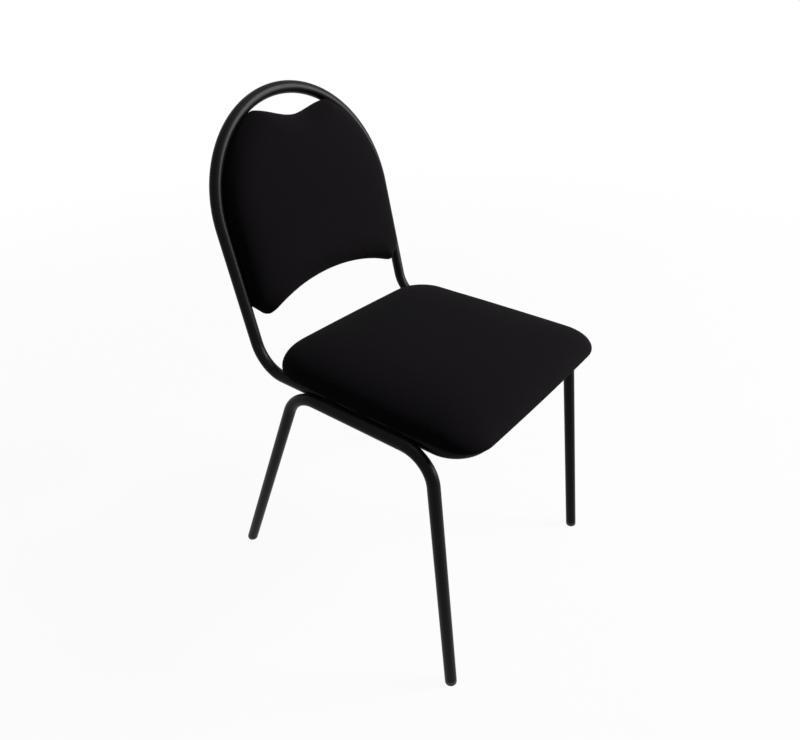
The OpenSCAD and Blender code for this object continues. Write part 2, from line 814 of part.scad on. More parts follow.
module seat_cover() {
    color(cloth_color)
        seat_stack()
            difference() {
                pillow_cover(
                    seat_loop, seat_centre, seat_half, cover_t, seat_hem_w,
                    seat_side_h, seat_crown, seat_draw_share, seat_slope);
                staple_row(seat_staple_places, staple_slack);
                translate([0, 0, cover_t]) at_fixings(seat_fixings) bolt_hole(cover_t);
            }
}

module seat_dust_cloth() {
    color(lining_color)
        seat_stack()
            difference() {
                loop_plate(dust_loop, seat_centre, rail_x, 0, -dust_cloth_t, 0);
                at_fixings(seat_fixings) bolt_hole(dust_cloth_t);
                staple_row(seat_staple_places, staple_slack);
                translate([0, 0, staple_crown_t - dust_cloth_t - cut])
                    staple_row(seat_staple_places, staple_slack);
            }
}

module seat_staples() {
    color(steel_color) seat_stack() staple_row(seat_staple_places, 0);
}

module seat_t_nuts() {
    color(steel_color) seat_stack() at_fixings(seat_fixings) t_nut(seat_nut_top, seat_board_t);
}

module seat_bolts() {
    under_head = -dust_cloth_t - tab_t - washer_t;
    color(steel_color)
        seat_stack()
            at_fixings(seat_fixings) bolt(under_head, seat_nut_top - nut_end_gap - under_head);
}

module seat_washers() {
    color(steel_color) seat_stack() at_fixings(seat_fixings) washer(-dust_cloth_t - tab_t);
}

// Back pad, all standing on the middle plane of the back frame
pad_board_inset = pad_side * (1 - pad_draw_share) + cover_t + stuffing_gap;
pad_nut_top = cover_t + back_board_t;

module back_board() {
    color(wood_color)
        back_plane()
            difference() {
                loop_plate(pad_loop, pad_centre, pad_side, pad_board_inset, cover_t, pad_nut_top);
                at_fixings(back_fixings) nut_hole(pad_nut_top, back_board_t);
                staple_row(pad_staple_places, staple_slack);
            }
}

module back_foam() {
    color(foam_color)
        back_plane()
            difference() {
                pillow(
                    pad_loop, pad_centre, pad_side, cover_t + stuffing_gap,
                    pad_side_h, pad_crown, pad_draw_share, 0);
                translate([-seat_w, 0, 0]) cube([2 * seat_w, 2 * seat_w, pad_nut_top]);
            }
}

module back_cover() {
    color(cloth_color)
        back_plane()
            difference() {
                pillow_cover(
                    pad_loop, pad_centre, pad_side, cover_t, back_hem_w,
                    pad_side_h, pad_crown, pad_draw_share, 0);
                staple_row(pad_staple_places, staple_slack);
                translate([0, 0, cover_t]) at_fixings(back_fixings) bolt_hole(cover_t);
            }
}

module back_rear_panel() {
    color(cloth_color)
        back_plane()
            difference() {
                loop_plate(pad_loop, pad_centre, pad_side, rear_panel_inset, -rear_panel_t, 0);
                at_fixings(back_fixings) bolt_hole(rear_panel_t);
                staple_row(pad_staple_places, staple_slack);
            }
}

module back_staples() {
    color(steel_color) back_plane() staple_row(pad_staple_places, 0);
}

module back_t_nuts() {
    color(steel_color) back_plane() at_fixings(back_fixings) t_nut(pad_nut_top, back_board_t);
}

module back_bolts() {
    under_head = -rear_panel_t - tab_t - washer_t;
    color(steel_color)
        back_plane()
            at_fixings(back_fixings) bolt(under_head, pad_nut_top - nut_end_gap - under_head);
}

module back_washers() {
    color(steel_color) back_plane() at_fixings(back_fixings) washer(-rear_panel_t - tab_t);
}

back_seat_frame();
left_leg_frame();
right_leg_frame();
rear_cross_tube();
left_rail_welds();
right_rail_welds();
front_joint_weld();
seat_tabs();
back_tabs();
front_left_foot();
front_right_foot();
rear_left_foot();
rear_right_foot();
seat_board();
seat_foam();
seat_cover();
seat_dust_cloth();
seat_staples();
seat_t_nuts();
seat_bolts();
seat_washers();
back_board();
back_foam();
back_cover();
back_rear_panel();
back_staples();
back_t_nuts();
back_bolts();
back_washers();
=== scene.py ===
"""A choir chair: welded frame of bent round tube, arched back with a hand hole, two pads in black cloth.

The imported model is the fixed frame. Every piece is worked out in its place, in metres, with +Z up and
the chair facing -Y. Left and right are as seen from the front.
"""

import json
import math

import bpy
import numpy as np
from bpy.props import FloatProperty, FloatVectorProperty, IntProperty, PointerProperty
from mathutils import Matrix, Vector


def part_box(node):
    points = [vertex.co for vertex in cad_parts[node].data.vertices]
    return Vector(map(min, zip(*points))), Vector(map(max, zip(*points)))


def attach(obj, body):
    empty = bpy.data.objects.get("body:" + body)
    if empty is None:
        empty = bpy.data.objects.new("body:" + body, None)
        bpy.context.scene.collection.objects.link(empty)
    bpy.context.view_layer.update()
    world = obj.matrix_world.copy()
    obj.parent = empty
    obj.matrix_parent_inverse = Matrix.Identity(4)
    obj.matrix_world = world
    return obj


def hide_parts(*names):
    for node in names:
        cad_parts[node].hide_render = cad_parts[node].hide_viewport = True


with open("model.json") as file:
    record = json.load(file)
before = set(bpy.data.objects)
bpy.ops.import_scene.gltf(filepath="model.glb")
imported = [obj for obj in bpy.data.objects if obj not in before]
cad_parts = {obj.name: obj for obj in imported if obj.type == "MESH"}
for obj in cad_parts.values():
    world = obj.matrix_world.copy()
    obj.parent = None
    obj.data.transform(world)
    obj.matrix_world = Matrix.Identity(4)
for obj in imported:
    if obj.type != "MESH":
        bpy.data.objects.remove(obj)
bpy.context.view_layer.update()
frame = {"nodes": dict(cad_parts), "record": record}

bl_info = {
    "name": "Choir Chair",
    "version": (1, 0, 0),
    "blender": (4, 5, 0),
    "location": "3D View > Sidebar > Chair",
    "description": "Dresses a choir chair of bent tube with its tubes, welds, pads and linings",
    "category": "Add Mesh",
}

BODY = "root"
FLOOR_MOUNTS = {mount["name"]: mount["pos_m"] for mount in frame["record"]["mounts"]}
FRONT_FOOT_Y = FLOOR_MOUNTS["front_right_floor"][1]
REAR_FOOT_Y = FLOOR_MOUNTS["rear_right_floor"][1]
STANCE_Y = (FRONT_FOOT_Y + REAR_FOOT_Y) / 2
SEAT_NODE_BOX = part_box("seat_cover")


def metres(name, default, description):
    """A length that a user may change."""
    return FloatProperty(
        name=name, description=description, default=default, min=0, precision=4, unit="LENGTH")


def degrees(name, default, description):
    """An angle that a user may change, given in degrees."""
    return FloatProperty(
        name=name, description=description, default=math.radians(default), unit="ROTATION")


def share(name, default, description):
    """A share from 0 to 1 that a user may change."""
    return FloatProperty(
        name=name, description=description, default=default, min=0, max=1, subtype="FACTOR")


def colour(name, default, description):
    """A colour that a user may change."""
    return FloatVectorProperty(
        name=name, description=description, default=default, min=0, max=1, size=3, subtype="COLOR")


class ChairFrameSizes(bpy.types.PropertyGroup):
    """Sizes of the tube frame."""
    tube_d: metres("Tube diameter", 0.019, "Outside diameter of the round tube")
    tube_wall: metres("Tube wall", 0.0015, "Wall of the round tube")
    bend_flattening: share("Bend flattening", 0.09, "Flattening of a bend as tight as the tube is thick")
    rail_h: metres("Rail height", 0.4165, "Height of the seat rails midway between the feet")
    rail_tilt: degrees("Rail tilt", 1.4, "Angle by which the rails rise towards the front")
    leg_splay: metres("Leg splay", 0.0148, "How far a leg leans outwards")
    rear_lean: metres("Rear lean", 0.1664, "How far a rear leg leans forwards")
    front_lean: metres("Front lean", 0.062, "How far a front leg leans backwards")
    rear_bend_r: metres("Rear bend", 0.066, "Bend radius at the top of a rear leg")
    front_bend_r: metres("Front bend", 0.053, "Bend radius at the top of a front leg")
    foot_h: metres("Foot cap", 0.008, "Length of a foot cap below its tube")
    seat_frame_w: metres("Rail distance", 0.367, "Distance between the two seat rails")
    rail_lift: metres("Rail lift", 0.002, "How much higher a seat rail lies than its leg rail")
    rail_rear: metres("Rail rear", 0.1714, "From the middle of the stance to the rail corner")
    rail_front: metres("Rail front", 0.2212, "From the middle of the stance to the front bar")
    back_bend_r: metres("Back bend", 0.058, "Bend radius where a rail turns up into the back")
    front_corner_r: metres("Front corner", 0.046, "Bend radius at the front corners")
    butt_gap: metres("Butt gap", 0.0004, "Gap at the joint in the middle of the front bar")
    recline: degrees("Recline", 14.2, "Angle by which the back leans from upright")
    back_side_h: metres("Back side", 0.2275, "Length of the back's straight sides")
    bead_r: metres("Bead radius", 0.0027, "Radius of a weld bead in the groove between two rails")
    bead_l: metres("Bead length", 0.030, "Length of a weld bead")


class ChairPadSizes(bpy.types.PropertyGroup):
    """Sizes of the two pads."""
    seat_w: metres("Seat width", round(SEAT_NODE_BOX[1].x - SEAT_NODE_BOX[0].x, 4), "Width of the seat pad")
    seat_rear: metres("Seat rear", 0.150, "From the middle of the stance to the pad's rear edge")
    seat_front: metres("Seat front", 0.2417, "From the middle of the stance to the pad's front edge")
    seat_rear_corner_r: metres("Rear corners", 0.060, "Corner radius at the rear of the seat pad")
    seat_front_corner_r: metres("Front corners", 0.046, "Corner radius at the front of the seat pad")
    seat_bulge: metres("Seat bulge", 0.0022, "How far the seat pad's edges bulge at their middle")
    seat_crown: metres("Seat crown", 0.0472, "Height of the seat pad's crown above the tube")
    seat_fall: metres("Seat fall", 0.006, "How far the crown falls to the front and rises to the rear")
    seat_side_h: metres("Seat side", 0.006, "Height at which the seat pad is widest")
    seat_hem_w: metres("Seat hem", 0.048, "Width of the seat cover's hem")
    pad_gap: metres("Pad gap", 0.0, "Gap between the frame tube and the back pad's cover")
    hand_hole_h: metres("Hand hole", 0.0325, "Height of the hand hole in the middle")
    hand_dip_w: metres("Dip width", 0.170, "Width over which the pad's top edge dips")
    hand_dip: metres("Dip depth", 0.015, "Depth of the dip in the pad's top edge")
    pad_arch_s: metres("Pad arch", 0.114, "Height of the arch in the pad's lower edge")
    pad_tip_s: metres("Pad tips", 0.083, "Height of the pad's lower tips")
    pad_tip_w: metres("Tip distance", 0.306, "Distance between the pad's lower tips")
    pad_cut_h: metres("Pad cut", 0.022, "Height of the slanted cut beside a lower tip")
    pad_crown: metres("Pad crown", 0.042, "Thickness of the back pad at its crown")
    pad_side_h: metres("Pad side", 0.003, "Height at which the back pad is widest")
    pad_bulge: metres("Pad bulge", 0.0009, "How far the back pad swells out over the tube")
    back_hem_w: metres("Back hem", 0.019, "Width of the back cover's hem")
    cover_t: metres("Cover", 0.0012, "Thickness of the cover")
    stuffing_gap: metres("Stuffing gap", 0.0003, "Slack between a cover and what it holds")
    seat_board_t: metres("Seat board", 0.010, "Thickness of the seat's board")
    back_board_t: metres("Back board", 0.008, "Thickness of the back's board")
    seat_draw: share("Seat draw-in", 0.983, "Share of its outline to which the seat is drawn in at its base")
    pad_draw: share("Back draw-in", 0.999, "Share of its outline to which the back pad is drawn in")
    seat_power: FloatProperty(
        name="Seat power", description="Power of the seat's section across", default=4.8, min=2, max=12)
    back_power: FloatProperty(
        name="Back power", description="Power of the back pad's section across", default=10, min=2, max=12)
    crown_power: FloatProperty(
        name="Crown power", description="Power of a pad's section upwards", default=2, min=1.5, max=6)
    dust_side_gap: metres("Lining sides", 0.0075, "From a seat rail's middle in to the lining's edge")
    dust_front_gap: metres("Lining front", 0.016, "From the front bar's middle back to the lining's edge")
    dust_rear_inset: metres("Lining rear", 0.035, "From the pad's rear edge forwards to the lining's edge")
    dust_corner_r: metres("Lining corner", 0.045, "Corner radius of the lining under the seat")
    dust_cloth_t: metres("Lining", 0.0006, "Thickness of the lining under the seat")
    dust_sag: metres("Lining sag", 0.0012, "How far the lining sags in the middle")
    closing_inset: metres("Closing inset", 0.007, "From the back pad's edge in to its closing cloth")
    closing_t: metres("Closing cloth", 0.0012, "Thickness of the cloth that closes the back pad")
    slack: metres("Slack", 0.0025, "How much lower a pad's crown is before its cloth swells")
    puff: metres("Puff", 0.0028, "The most that the simulated cloth swells")
    puff_rise: metres("Puff rise", 0.010, "Height above the hem from which the cloth swells fully")
    voxel: metres("Voxel", 0.005, "Mesh size of the simulated cloth")
    sim_frames: IntProperty(
        name="Frames", description="Frames of cloth simulation", default=12, min=1, max=60)


class ChairColours(bpy.types.PropertyGroup):
    """Colours of the finishes."""
    coat: colour("Powder coat", (0.0034, 0.0031, 0.0035), "Satin black powder coat")
    # Painted shade: the darker colour that the weave puts between the threads.
    cloth_low: colour("Cloth shade", (0.0023, 0.0019, 0.0025), "Cloth between its threads")
    cloth_high: colour("Cloth thread", (0.0073, 0.0063, 0.0077), "Cloth on top of a thread")
    lining: colour("Lining", (0.012, 0.012, 0.013), "Black lining under the seat")
    cap: colour("Foot cap", (0.009, 0.009, 0.010), "Black plastic of the foot caps")
    wood: colour("Plywood", (0.55, 0.40, 0.24), "Birch plywood")
    wood_dark: colour("Plywood grain", (0.36, 0.23, 0.12), "Grain and glue lines of the plywood")
    foam: colour("Foam", (0.80, 0.72, 0.50), "Foam")
    steel: colour("Steel", (0.56, 0.57, 0.58), "Zinc-plated steel")


def unit(v):
    """Vector of length one along another, row by row."""
    v = np.asarray(v, float)
    return v / np.linalg.norm(v, axis=-1, keepdims=True)


def seat_place(points, sizes):
    """Points of the seat rails' plane to the row frame.

    They are turned about X by the rail tilt, then lifted to the rail height.
    """
    p = np.asarray(points, float)
    c, s = math.cos(sizes.rail_tilt), math.sin(sizes.rail_tilt)
    return np.stack([
        p[..., 0],
        p[..., 1] * c + p[..., 2] * s + STANCE_Y,
        sizes.rail_h - p[..., 1] * s + p[..., 2] * c], -1)


def back_place(points, sizes):
    """Points of the back's plane to the row frame: across, up along the back and out towards the sitter.

    They are turned about X by the recline and set on the corner where the rails turn up.
    """
    p = np.asarray(points, float)
    c, s = math.cos(sizes.recline), math.sin(sizes.recline)
    corner = seat_place([0, sizes.rail_rear, 0], sizes)
    return corner + np.stack([
        p[..., 0],
        p[..., 1] * s - p[..., 2] * c,
        p[..., 1] * c + p[..., 2] * s], -1)


def arc(centre, radius, start, end, count):
    """Circular arc: centre + radius * (cos a, sin a), for angles a from start to end in degrees."""
    a = np.radians(np.linspace(start, end, count))
    return np.asarray(centre, float) + radius * np.stack([np.cos(a), np.sin(a)], 1)


def corner_arc(before, corner, after, radius, count):
    """Arc that rounds a corner of an outline.

    It leaves both sides at radius * tan(half the turn) from the corner.
    """
    u, v = unit(corner - before), unit(after - corner)
    turn = math.acos(u @ v)
    side = math.copysign(1, u[0] * v[1] - u[1] * v[0])
    start = corner - u * radius * math.tan(turn / 2)
    centre = start + side * radius * np.array([-u[1], u[0]])
    first = math.degrees(math.atan2(*(start - centre)[::-1]))
    return arc(centre, radius, first, first + side * math.degrees(turn), count)


def evenly(loop, count):
    """A closed outline as count points at equal steps along it.

    The length so far is the running sum of its sides.
    """
    closed = np.vstack([loop, loop[:1]])
    along = np.concatenate([[0], np.cumsum(np.linalg.norm(np.diff(closed, axis=0), axis=1))])
    at = np.linspace(0, along[-1], count, endpoint=False)
    return np.stack([np.interp(at, along, closed[:, k]) for k in (0, 1)], 1)


def rounded_plan(half_w, front, rear, near, far, count):
    """Rounded rectangle from above: quarter arcs of the near and far radius, joined by straight sides."""
    low, high, steps = near - front, rear - far, count // 8
    return evenly(np.vstack([
        arc([half_w - near, low], near, -90, 0, steps), arc([half_w - far, high], far, 0, 90, steps),
        arc([far - half_w, high], far, 90, 180, steps), arc([near - half_w, low], near, 180, 270, steps)]),
        count)


def seat_outline(pads, count):
    """Rounded rectangle whose four sides bulge as a cosine of the place along them."""
    half_w, half_l = pads.seat_w / 2, (pads.seat_rear + pads.seat_front) / 2
    loop = rounded_plan(half_w, pads.seat_front, pads.seat_rear, pads.seat_front_corner_r,
                        pads.seat_rear_corner_r, count)
    middle = (pads.seat_rear - pads.seat_front) / 2
    across, along = loop[:, 0] / half_w, (loop[:, 1] - middle) / half_l
    bulge = np.stack([across * np.cos(along * np.pi / 2), along * np.cos(across * np.pi / 2)], 1)
    return loop + pads.seat_bulge * bulge


PAD_TIP_R = 0.005
PAD_HORN_R = 0.0025
HORN_LEAD = 0.94
ARC_POINTS = 60
TIP_TRIM = 4
DIP_POINTS = 400


def dip_height(x, pads, sizes):
    """Height of the pad's top edge: a hollow of cosine shape, hand_dip deep at the middle."""
    low = sizes.back_side_h + (sizes.seat_frame_w - sizes.tube_d) / 2 - pads.hand_hole_h
    return low + pads.hand_dip * (1 - np.cos(2 * np.pi * x / pads.hand_dip_w)) / 2


def pad_half_w(pads, sizes):
    """Half the width of the back pad, which is also the radius of its top."""
    return (sizes.seat_frame_w - sizes.tube_d) / 2 - pads.pad_gap


def pad_outline(pads, sizes, count):
    """Back pad from the front: lower arch, tip, slanted cut, side, arch under the tube, horn and hand dip."""
    side = pad_half_w(pads, sizes)
    top = np.array([0, sizes.back_side_h])
    tip = np.array([pads.pad_tip_w / 2, pads.pad_tip_s])
    cut = np.array([side, pads.pad_tip_s + pads.pad_cut_h])
    rise = pads.pad_arch_s - pads.pad_tip_s
    arch_r = (tip[0] ** 2 + rise ** 2) / (2 * rise)
    span = math.degrees(math.asin(tip[0] / arch_r))
    lower = arc([0, pads.pad_arch_s - arch_r], arch_r, 90, 90 - span, ARC_POINTS)[:-TIP_TRIM]
    x = np.linspace(0, pads.hand_dip_w / 2, DIP_POINTS)
    dip = np.stack([x, dip_height(x, pads, sizes)], 1)
    outside = np.linalg.norm(dip - top, axis=1) - side
    horn_x = np.interp(0, outside, x)
    horn = np.array([horn_x, dip_height(horn_x, pads, sizes)])
    lead = HORN_LEAD * math.degrees(math.atan2(*(horn - top)[::-1]))
    last_dip = np.array([horn_x * HORN_LEAD, dip_height(horn_x * HORN_LEAD, pads, sizes)])
    arch = arc(top, side, 0, lead, ARC_POINTS)
    half = np.vstack([
        lower,
        corner_arc(lower[-1], tip, cut, PAD_TIP_R, 8),
        corner_arc(tip, cut, cut + [0, 1], PAD_TIP_R, 6),
        arch,
        corner_arc(arch[-1], horn, last_dip, PAD_HORN_R, 8),
        dip[x < last_dip[0]][::-1]])
    other = half[-2:0:-1] * [-1, 1]
    return evenly(np.vstack([half, other]), count)


def grid_faces(rows, columns, wrap_rows=False):
    """Quads of a grid whose columns close on themselves, and whose rows do too if asked.

    A quad runs (r, c), (r, c + 1), (r + 1, c + 1), (r + 1, c).
    """
    r = np.arange(rows if wrap_rows else rows - 1)[:, None]
    c = np.arange(columns)[None, :]
    up, on = (r + 1) % rows, (c + 1) % columns
    return np.stack(np.broadcast_arrays(
        r * columns + c, r * columns + on, up * columns + on, up * columns + c), -1).reshape(-1, 4)


def fan_faces(ring, tip, columns, turned=False):
    """Triangles from the ring that starts at a point number to a tip point."""
    c = np.arange(columns)
    sides = [ring + c, ring + (c + 1) % columns]
    return np.stack([*(sides[::-1] if turned else sides), np.full(columns, tip)], -1)


def new_piece(name, points, faces, uv=None, sharp=0.7):
    """Object at the origin from points and lists of faces, smooth but for edges sharper than an angle."""
    mesh = bpy.data.meshes.new(name)
    mesh.from_pydata(np.asarray(points).tolist(), [], [f for group in faces for f in group.tolist()])
    mesh.shade_smooth()
    mesh.set_sharp_from_angle(angle=sharp)
    if uv is not None:
        corner = np.zeros(len(mesh.loops), np.int32)
        mesh.loops.foreach_get("vertex_index", corner)
        mesh.uv_layers.new(name="cloth").data.foreach_set(
            "uv", np.asarray(uv, np.float32)[corner].ravel())
    piece = bpy.data.objects.new(name, mesh)
    bpy.context.scene.collection.objects.link(piece)
    return piece


def finished(piece, finish_material, slot, *nodes):
    """Gives a piece its finish and its body, and hides the nodes that it stands for."""
    piece.data.materials.clear()
    piece.data.materials.append(finish_material)
    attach(piece, BODY)
    if nodes:
        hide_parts(*nodes)
    return piece


SAME_PLACE = 1e-6


def bent_path(corners, radii, run_step=0.02, bend_step=math.radians(3)):
    """Centreline through rounded corners, with a frame carried along it.

    A bend of turn T and radius r starts r * tan(T / 2) before its corner. On it a point is the centre plus
    r * (-inside cos a + way sin a), and the frame turns about the bend's axis by the same angle a.
    Returns points, the two cross directions and, for the bends, the direction inwards times the square
    root of sin(pi a / T) / r.
    """
    corners = np.asarray(corners, float)
    ways = unit(np.diff(corners, axis=0))
    across = unit(np.cross(ways[0], np.cross(ways[0], ways[1])))
    rows, start = [], corners[0]
    for i in range(1, len(corners)):
        way = ways[i - 1]
        last = i == len(corners) - 1
        turn = 0 if last else math.acos(np.clip(way @ ways[i], -1, 1))
        end = corners[i] - way * (0 if last else radii[i] * math.tan(turn / 2))
        run = np.linalg.norm(end - start)
        if run > SAME_PLACE:
            t = np.linspace(0, 1, max(2, round(run / run_step) + 1))[:, None]
            rows.append((start + t * (end - start), np.broadcast_to(way, (len(t), 3)),
                         np.broadcast_to(across, (len(t), 3)), np.zeros((len(t), 3))))
        if last:
            break
        axis = unit(np.cross(way, ways[i]))
        inside = np.cross(axis, way)
        a = np.linspace(0, turn, max(4, round(turn / bend_step)) + 1)[1:, None]
        centre = end + inside * radii[i]
        points = centre + radii[i] * (way * np.sin(a) - inside * np.cos(a))
        inwards = inside * np.cos(a) - way * np.sin(a)
        carried = (across * np.cos(a) + np.cross(axis, across) * np.sin(a)
                   + axis * (axis @ across) * (1 - np.cos(a)))
        rows.append((points, way * np.cos(a) + inside * np.sin(a), carried,
                     inwards * np.sqrt(np.abs(np.sin(np.pi * a / turn)) / radii[i])))
        start, across = points[-1], carried[-1]
    points, ways_along, across_along, inwards = (np.vstack(part) for part in zip(*rows))
    keep = np.concatenate([[True], np.linalg.norm(np.diff(points, axis=0), axis=1) > SAME_PLACE])
    points, ways_along, across_along, inwards = (
        part[keep] for part in (points, ways_along, across_along, inwards))
    return points, across_along, np.cross(ways_along, across_along), inwards


def tube_piece(name, corners, radii, tube_d, wall, flattening=0.0, columns=48):
    """Hollow bent tube: rings of centre + r (u cos b + v sin b), drawn in across each bend.

    A ring is narrower along the bend's inside by the flattening times tube diameter over bend radius. The
    outer rings run to the end and the inner rings run back, so that the end faces close the wall.
    """
    points, u, v, inwards = bent_path(corners, radii)
    b = np.linspace(0, 2 * np.pi, columns, endpoint=False)[None, :, None]
    ring = u[:, None] * np.cos(b) + v[:, None] * np.sin(b)
    pull = (ring * inwards[:, None]).sum(-1, keepdims=True) * inwards[:, None] * flattening * tube_d
    shells = [points[:, None] + (ring - pull) * r for r in (tube_d / 2, tube_d / 2 - wall)]
    surface = np.concatenate([shells[0], shells[1][::-1]])
    return new_piece(name, surface.reshape(-1, 3), [grid_faces(len(surface), columns, True)])


def foot_point(sizes, front):
    """Middle of a foot of the right-hand side on the floor, in the stance's own frame."""
    half = (REAR_FOOT_Y - FRONT_FOOT_Y) / 2
    return np.array([leg_rail_x(sizes) + sizes.leg_splay, -half if front else half, 0])


WELD_GAP = 0.00005


def leg_rail_x(sizes):
    """Place of a leg rail beside its seat rail: the two tubes touch, one rail_lift lower than the other."""
    touching = sizes.tube_d + WELD_GAP
    return sizes.seat_frame_w / 2 + math.sqrt(touching ** 2 - sizes.rail_lift ** 2)


def leg_corners(sizes):
    """Corners of the right-hand leg frame in the row frame: tube end, rear corner, front corner, tube end."""
    half = (REAR_FOOT_Y - FRONT_FOOT_Y) / 2
    x = leg_rail_x(sizes)
    rear = seat_place([x, half - sizes.rear_lean, -sizes.rail_lift], sizes)
    front = seat_place([x, sizes.front_lean - half, -sizes.rail_lift], sizes)
    feet = [foot_point(sizes, is_front) + [0, STANCE_Y, 0] for is_front in (False, True)]
    ends = [foot + sizes.foot_h * unit(corner - foot) for foot, corner in zip(feet, (rear, front))]
    return np.array([ends[0], rear, front, ends[1]])


def frame_corners(sizes):
    """Corners of the seat and back frame in the row frame, from the butt joint round to it again."""
    x, top = sizes.seat_frame_w / 2, sizes.back_side_h + sizes.seat_frame_w / 2
    front = -sizes.rail_front
    seat = seat_place([[sizes.butt_gap / 2, front, 0], [x, front, 0], [x, sizes.rail_rear, 0]], sizes)
    right = np.vstack([seat, back_place([[x, top, 0]], sizes)])
    return np.vstack([right, right[::-1] * [-1, 1, 1]])


class Value:
    """A number in a shader: Python's operators on it add Math nodes."""

    def __init__(self, nodes, socket):
        self.nodes, self.socket = nodes, socket

    def maths(self, operation, *others):
        """A Math node of that operation on this value and others."""
        node = self.nodes.node("ShaderNodeMath", {"operation": operation}, **{
            str(k): item for k, item in enumerate([self, *others])})
        return Value(self.nodes, node.outputs[0])

    def __add__(self, other):
        return self.maths("ADD", other)

    def __sub__(self, other):
        return self.maths("SUBTRACT", other)

    def __mul__(self, other):
        return self.maths("MULTIPLY", other)

    def __rsub__(self, other):
        return (self * -1) + other

    __radd__ = __add__
    __rmul__ = __mul__

    def sine(self):
        """Sine of an angle in radians."""
        return self.maths("SINE")

    def size(self):
        """Absolute value."""
        return self.maths("ABSOLUTE")

    def larger(self, other):
        """The larger of two values."""
        return self.maths("MAXIMUM", other)

    def steps(self, low, high):
        """0 below low, 1 above high and a smooth rise between them."""
        node = self.nodes.node(
            "ShaderNodeMapRange", {"interpolation_type": "SMOOTHSTEP"},
            **{"Value": self, "From Min": low, "From Max": high})
        return Value(self.nodes, node.outputs[0])


class Nodes:
    """The nodes of a material or of the world, and the one way they are made."""

    def __init__(self, tree):
        self.tree = tree

    def node(self, kind, settings=None, **values):
        """A node of a type: its settings first, then a value or link for each named or numbered socket."""
        node = self.tree.nodes.new(kind)
        for key, setting in (settings or {}).items():
            setattr(node, key, setting)
        for name, value in values.items():
            self.feed(node.inputs[int(name) if name.isdigit() else name], value)
        return node

    def feed(self, socket, value):
        """Links a value to a socket, or sets a number or colour on it."""
        if isinstance(value, Value):
            value = value.socket
        if isinstance(value, bpy.types.NodeSocket):
            self.tree.links.new(value, socket)
        else:
            socket.default_value = value

    def mixed(self, factor, first, second):
        """Shader between two shaders."""
        return self.node("ShaderNodeMixShader", **{"0": factor, "1": first, "2": second}).outputs[0]

    def seen_directly(self):
        """1 for the camera and for what shows in gloss and glass, else 0."""
        rays = self.node("ShaderNodeLightPath").outputs
        seen = Value(self, rays["Is Camera Ray"])
        for name in ("Is Glossy Ray", "Is Transmission Ray"):
            seen = seen.larger(rays[name])
        return seen


class Finish(Nodes):
    """A material with one Principled shader."""

    def __init__(self, name, **constants):
        self.material = bpy.data.materials.new(name)
        self.material.use_nodes = True
        super().__init__(self.material.node_tree)
        self.shader = next(n for n in self.tree.nodes if n.type == "BSDF_PRINCIPLED")
        for socket, value in constants.items():
            self.shader.inputs[socket.replace("_", " ")].default_value = value

    def coordinates(self, turn=(0, 0, 0), scale=(1, 1, 1)):
        """Object coordinates, turned and scaled."""
        place = self.node("ShaderNodeTexCoord").outputs["Object"]
        node = self.node(
            "ShaderNodeMapping", {"vector_type": "POINT"}, Vector=place, Rotation=turn, Scale=scale)
        return node.outputs[0]

    def parts(self, vector):
        """The three numbers of a vector."""
        node = self.node("ShaderNodeSeparateXYZ", Vector=vector)
        return [Value(self, socket) for socket in node.outputs]

    def noise(self, place, scale, detail=3.0, roughness=0.5):
        """Noise with so many waves a metre, from 0 to 1."""
        node = self.node(
            "ShaderNodeTexNoise", {"noise_dimensions": "3D"},
            Vector=place, Scale=scale, Detail=detail, Roughness=roughness)
        return Value(self, node.outputs[0])

    def blend(self, factor, first, second):
        """Colour between two colours."""
        node = self.node(
            "ShaderNodeMix", {"data_type": "RGBA"},
            **{"0": factor, "6": as_colour(first), "7": as_colour(second)})
        return node.outputs[2]

    def bump(self, height, depth, strength=1.0):
        """Feeds the Normal with a height from 0 to 1 that stands for a depth in metres."""
        node = self.node("ShaderNodeBump", Height=height, Distance=depth, Strength=strength)
        self.feed(self.shader.inputs["Normal"], node.outputs[0])

    def paint(self, **inputs):
        """Feeds the shader's own sockets."""
        for name, value in inputs.items():
            self.feed(self.shader.inputs[name.replace("_", " ")], value)
        return self.material


def as_colour(value):
    """A colour of three numbers as one of four, and a socket as it is."""
    return value if isinstance(value, (bpy.types.NodeSocket, Value)) else (*value, 1)


def powder_coat(colours):
    """Satin black powder coat: orange peel, a little cloudiness in its gloss, and scuffs near the floor."""
    finish = Finish("powder_coat", Specular_IOR_Level=0.07)
    place = finish.coordinates()
    peel = finish.noise(place, 900, 2)
    cloud = finish.noise(place, 14, 3)
    scratch = finish.noise(finish.coordinates(scale=(1, 1, 0.12)), 420, 3, 0.7)
    low = 1 - finish.parts(place)[2].steps(0.012, 0.11)
    scuff = scratch.steps(0.60, 0.74) * low
    colour_now = finish.blend(cloud, [c * 0.85 for c in colours.coat], [c * 1.2 for c in colours.coat])
    colour_now = finish.blend(scuff * 0.5, colour_now, (0.045, 0.044, 0.043))
    finish.bump(peel + scuff * -0.6, 0.00004, 0.35)
    return finish.paint(Base_Color=colour_now, Roughness=cloud * 0.10 + peel * 0.05 + scuff * 0.2 + 0.31)


def weld_coat(colours):
    """Powder coat over a weld bead, a little thicker and glossier in its furrows."""
    finish = Finish("weld_coat", Specular_IOR_Level=0.03)
    place = finish.coordinates()
    spatter = finish.noise(place, 1500, 3, 0.6)
    finish.bump(spatter, 0.00012, 0.5)
    colour_now = finish.blend(spatter, [c * 0.9 for c in colours.coat], [c * 1.6 for c in colours.coat])
    return finish.paint(Base_Color=colour_now, Roughness=spatter * 0.12 + 0.48)


